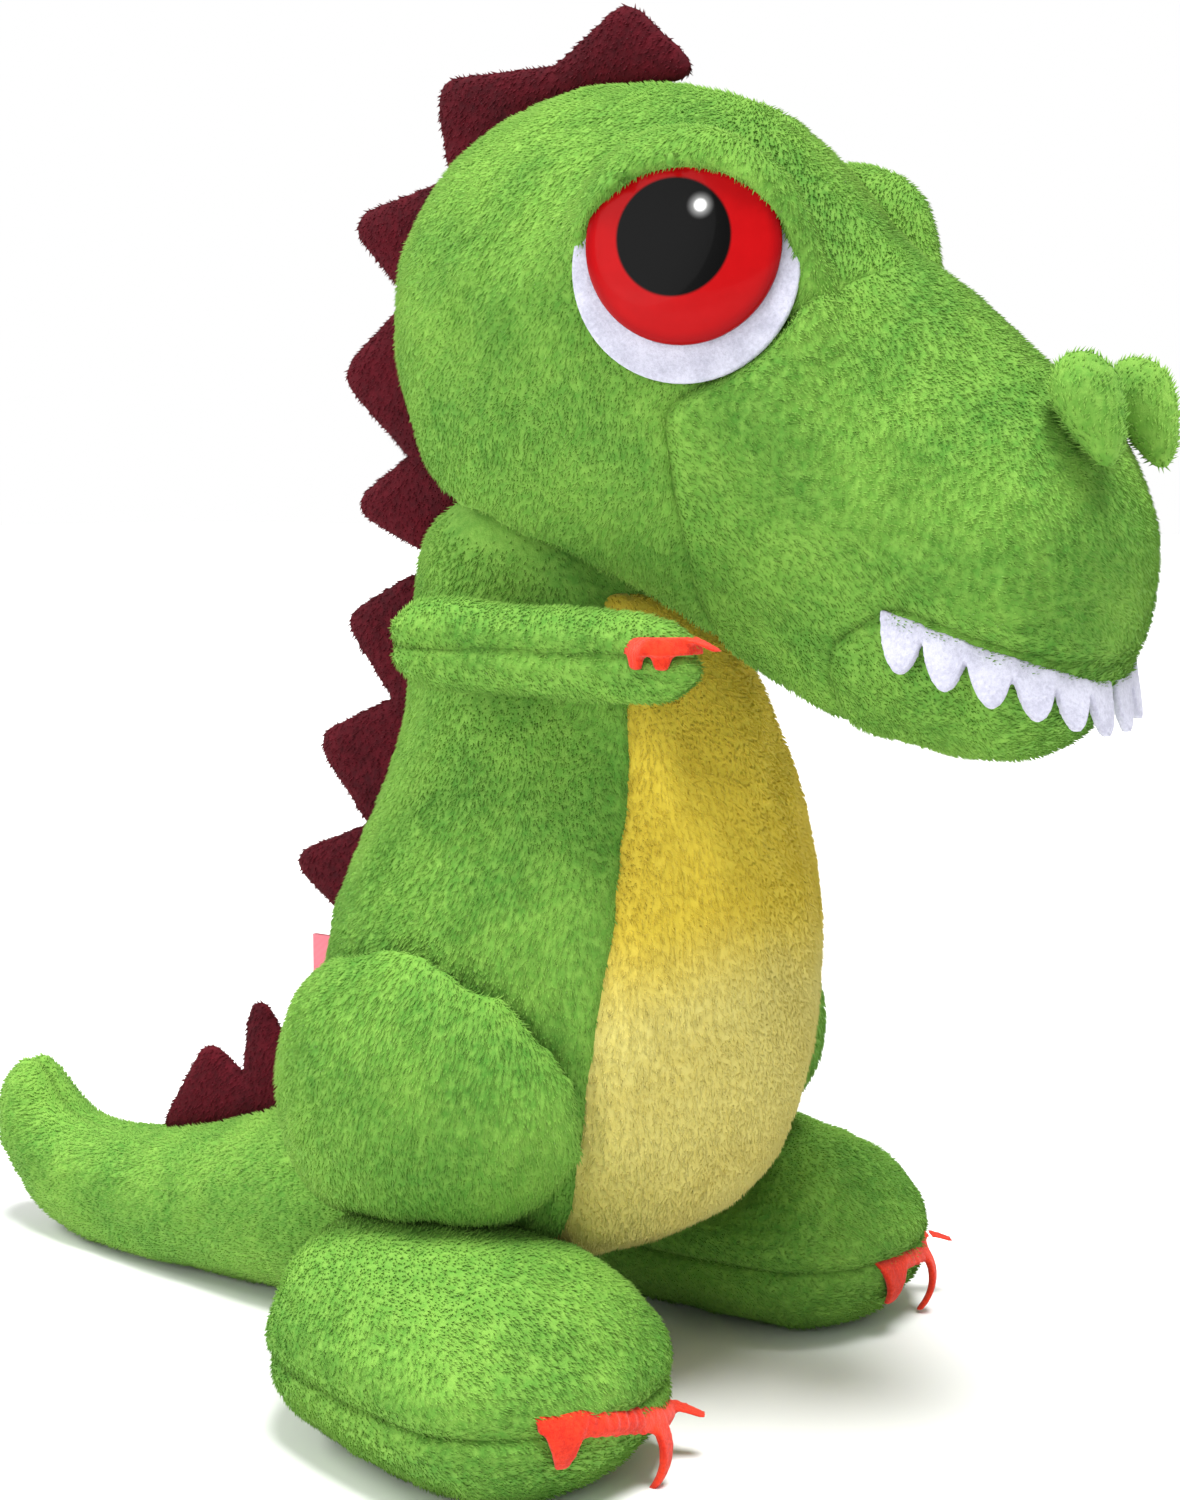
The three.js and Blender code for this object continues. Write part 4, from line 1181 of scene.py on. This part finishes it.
def eye_finish(name, matrix, mirror):
    coat = {"Coat_Weight": 0.06, "Coat_Roughness": 0.04}
    finish = Finish(name, Roughness=0.22, Specular_IOR_Level=0.05, **coat)
    euler = matrix.to_euler("XYZ")
    inputs = {"Vector": finish.place, "Location": matrix.translation, "Rotation": euler}
    own = finish.add("ShaderNodeMapping", {"vector_type": "TEXTURE"}, inputs)

    def disc(centre, radius, soft):
        flat = finish.vector("MULTIPLY", finish.vector("SUBTRACT", own, centre), (1, 1, 0))
        away = finish.add("ShaderNodeVectorMath", {"operation": "LENGTH"}, {0: flat}, "Value")
        settings = {"interpolation_type": "SMOOTHSTEP"}
        inputs = {"Value": away, 1: radius + soft, 2: radius - soft, 3: 0.0, 4: 1.0}
        return finish.add("ShaderNodeMapRange", settings, inputs)

    centre = (PUPIL_PLACE[0] * mirror, PUPIL_PLACE[1], 0)
    painted_highlight = (PAINTED_HIGHLIGHT_PLACE[0] * mirror, PAINTED_HIGHLIGHT_PLACE[1], 0)
    mottle = finish.noise(420, 3)
    iris = finish.mix(mottle, colour(160, 8, 12), colour(174, 12, 16))
    edge = disc((0, 0, 0), DISC_RADIUS - 0.9 * MM, 1.0 * MM)
    iris = finish.mix(edge, colour(140, 8, 14), iris)
    print_and_painted_highlight = finish.mix(disc(centre, PUPIL_RADIUS, 0.25 * MM), iris, (0.002, 0.002, 0.002, 1))
    # Painted highlight: a soft light grey glow and a small white spot, painted in the pupil.
    painted_glow = disc(painted_highlight, 1.1 * MM, 1.0 * MM) * PAINTED_GLOW
    print_and_painted_highlight = finish.mix(painted_glow, print_and_painted_highlight, (0.7, 0.7, 0.7, 1))
    print_and_painted_highlight = finish.mix(disc(painted_highlight, 0.8 * MM, 0.3 * MM), print_and_painted_highlight, (1, 1, 1, 1))
    finish.feed("Base Color", print_and_painted_highlight)
    return finish.material


for side, mirror in (("right", 1), ("left", -1)):
    axes = EYES[side]
    raised = axes @ Matrix.Translation((0, DISC_RISE, 0))
    disc = spun(f"eye_disc_{side}_dome", disc_outline(), raised)
    disc.data.materials.append(eye_finish(f"eye_print_{side}", raised, mirror))
    white = spun(f"eye_white_{side}_felt", white_outline(), axes)
    white.data.materials.append(white_felt)
    for part, node, slot in ((disc, "eye_disc", "eye_plastic"), (white, "eye_white", "white_felt")):
        belong("head", slot, part)
        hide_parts(f"{node}_{side}")
print("eyes made")

# %% [markdown]
# The label is one short ribbon folded in half, with both ends caught in the back seam. It is
# under a centimetre wide, so it counts as trim and not as a sheet of cloth. A single row of edges
# is bent into the fold and pulled up to the ribbon's width.

# %% Label
RIBBON_THICKNESS = 0.25 * MM
FOLD_RADIUS = 0.4 * MM


def ribbon():
    low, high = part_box("sewn_label")
    near, far = low.y, high.y - FOLD_RADIUS - RIBBON_THICKNESS
    line = [(-FOLD_RADIUS, near + (far - near) * i / 12) for i in range(13)]
    for step in range(1, 8):
        angle = math.pi * step / 8
        line.append((-FOLD_RADIUS * math.cos(angle), far + FOLD_RADIUS * math.sin(angle)))
    line += [(FOLD_RADIUS, far - (far - near) * i / 12) for i in range(13)]
    shell = bmesh.new()
    verts = [shell.verts.new((x, y, low.z)) for x, y in line]
    edges = [shell.edges.new(pair) for pair in zip(verts, verts[1:], strict=False)]
    pulled = bmesh.ops.extrude_edge_only(shell, edges=edges)
    raised = [v for v in pulled["geom"] if isinstance(v, bmesh.types.BMVert)]
    bmesh.ops.translate(shell, vec=(0, 0, high.z - low.z), verts=raised)
    bmesh.ops.recalc_face_normals(shell, faces=shell.faces)
    length = sum(math.dist(a, b) for a, b in zip(line, line[1:], strict=False))
    return new_piece("sewn_label_ribbon", shell), high.z - low.z, length


label, ribbon_width, ribbon_length = ribbon()
modified(label, "SOLIDIFY", thickness=RIBBON_THICKNESS, offset=0)
label.data.materials.append(label_ribbon)
belong("body", "label_ribbon", label)
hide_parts("sewn_label")
print("ribbon flat size, mm:", round(ribbon_width / MM, 1), round(ribbon_length / MM, 1))

# %% [markdown]
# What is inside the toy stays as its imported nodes: loose fibre, a small pouch of pellets that
# keeps it standing, and the washers that lock the eyes. They still get finishes of their own.

# %% Finishes of the inner nodes
INNER = {"stuffing": fibre_fill, "pellet_pouch": pellet_cloth, "eye_washer": washer_plastic}
for node, packed in frame["nodes"].items():
    for word, finish in INNER.items():
        if word in node:
            for place in packed.material_slots:
                place.link = "OBJECT"
                place.material = finish

# %% [markdown]
# A plain pale floor under a broad light from almost overhead, which keeps the shadows short and
# soft. A wide weak lamp at the side opens them, and a lamp behind lights the fuzz along the edges.
# The camera sees a white sky, but for everything else the sky is less than half as bright.

# %% Floor and lights
ground = bmesh.new()
bmesh.ops.create_grid(ground, x_segments=1, y_segments=1, size=6)
floor = new_piece("floor", ground)
floor_finish = Finish("floor_paint", Roughness=0.8)
FLOOR_TONES = (0.84, 0.84, 0.83, 1), (0.88, 0.88, 0.87, 1)
floor_tone = floor_finish.mix(floor_finish.noise(3, 2), *FLOOR_TONES)
floor_finish.feed("Base Color", floor_tone)
floor.data.materials.append(floor_finish.material)


def light_up(name, kind, place, strength, **form):
    """A light that is aimed at the middle of the toy."""
    data = bpy.data.lights.new(name, kind)
    data.energy = strength
    for key, value in form.items():
        setattr(data, key, value)
    light = bpy.data.objects.new(name, data)
    scene.collection.objects.link(light)
    light.location = place
    light.rotation_mode = "QUATERNION"
    light.rotation_quaternion = (Vector(place) - TARGET).to_track_quat("Z", "Y")


light_up("key_light", "SUN", (-0.15, -0.3, 1.3), 4.7, angle=math.radians(24))
light_up("fill_light", "AREA", (-1.0, 0.1, 0.45), 4.6, shape="DISK", size=0.9)
light_up("back_light", "AREA", (-0.35, 0.9, 0.8), 7, shape="DISK", size=0.5)
SKY_LIGHT = 0.42
world = bpy.data.worlds.new("studio")
world.use_nodes = True
sky = world.node_tree.nodes["Background"]
sky.inputs["Color"].default_value = (1, 1, 1, 1)
backdrop = Graph(world.node_tree)
seen = backdrop.add("ShaderNodeLightPath", {}, {}, "Is Camera Ray")
world.node_tree.links.new((seen * (1 - SKY_LIGHT) + SKY_LIGHT).socket, sky.inputs["Strength"])
scene.world = world
scene.view_settings.view_transform = "Standard"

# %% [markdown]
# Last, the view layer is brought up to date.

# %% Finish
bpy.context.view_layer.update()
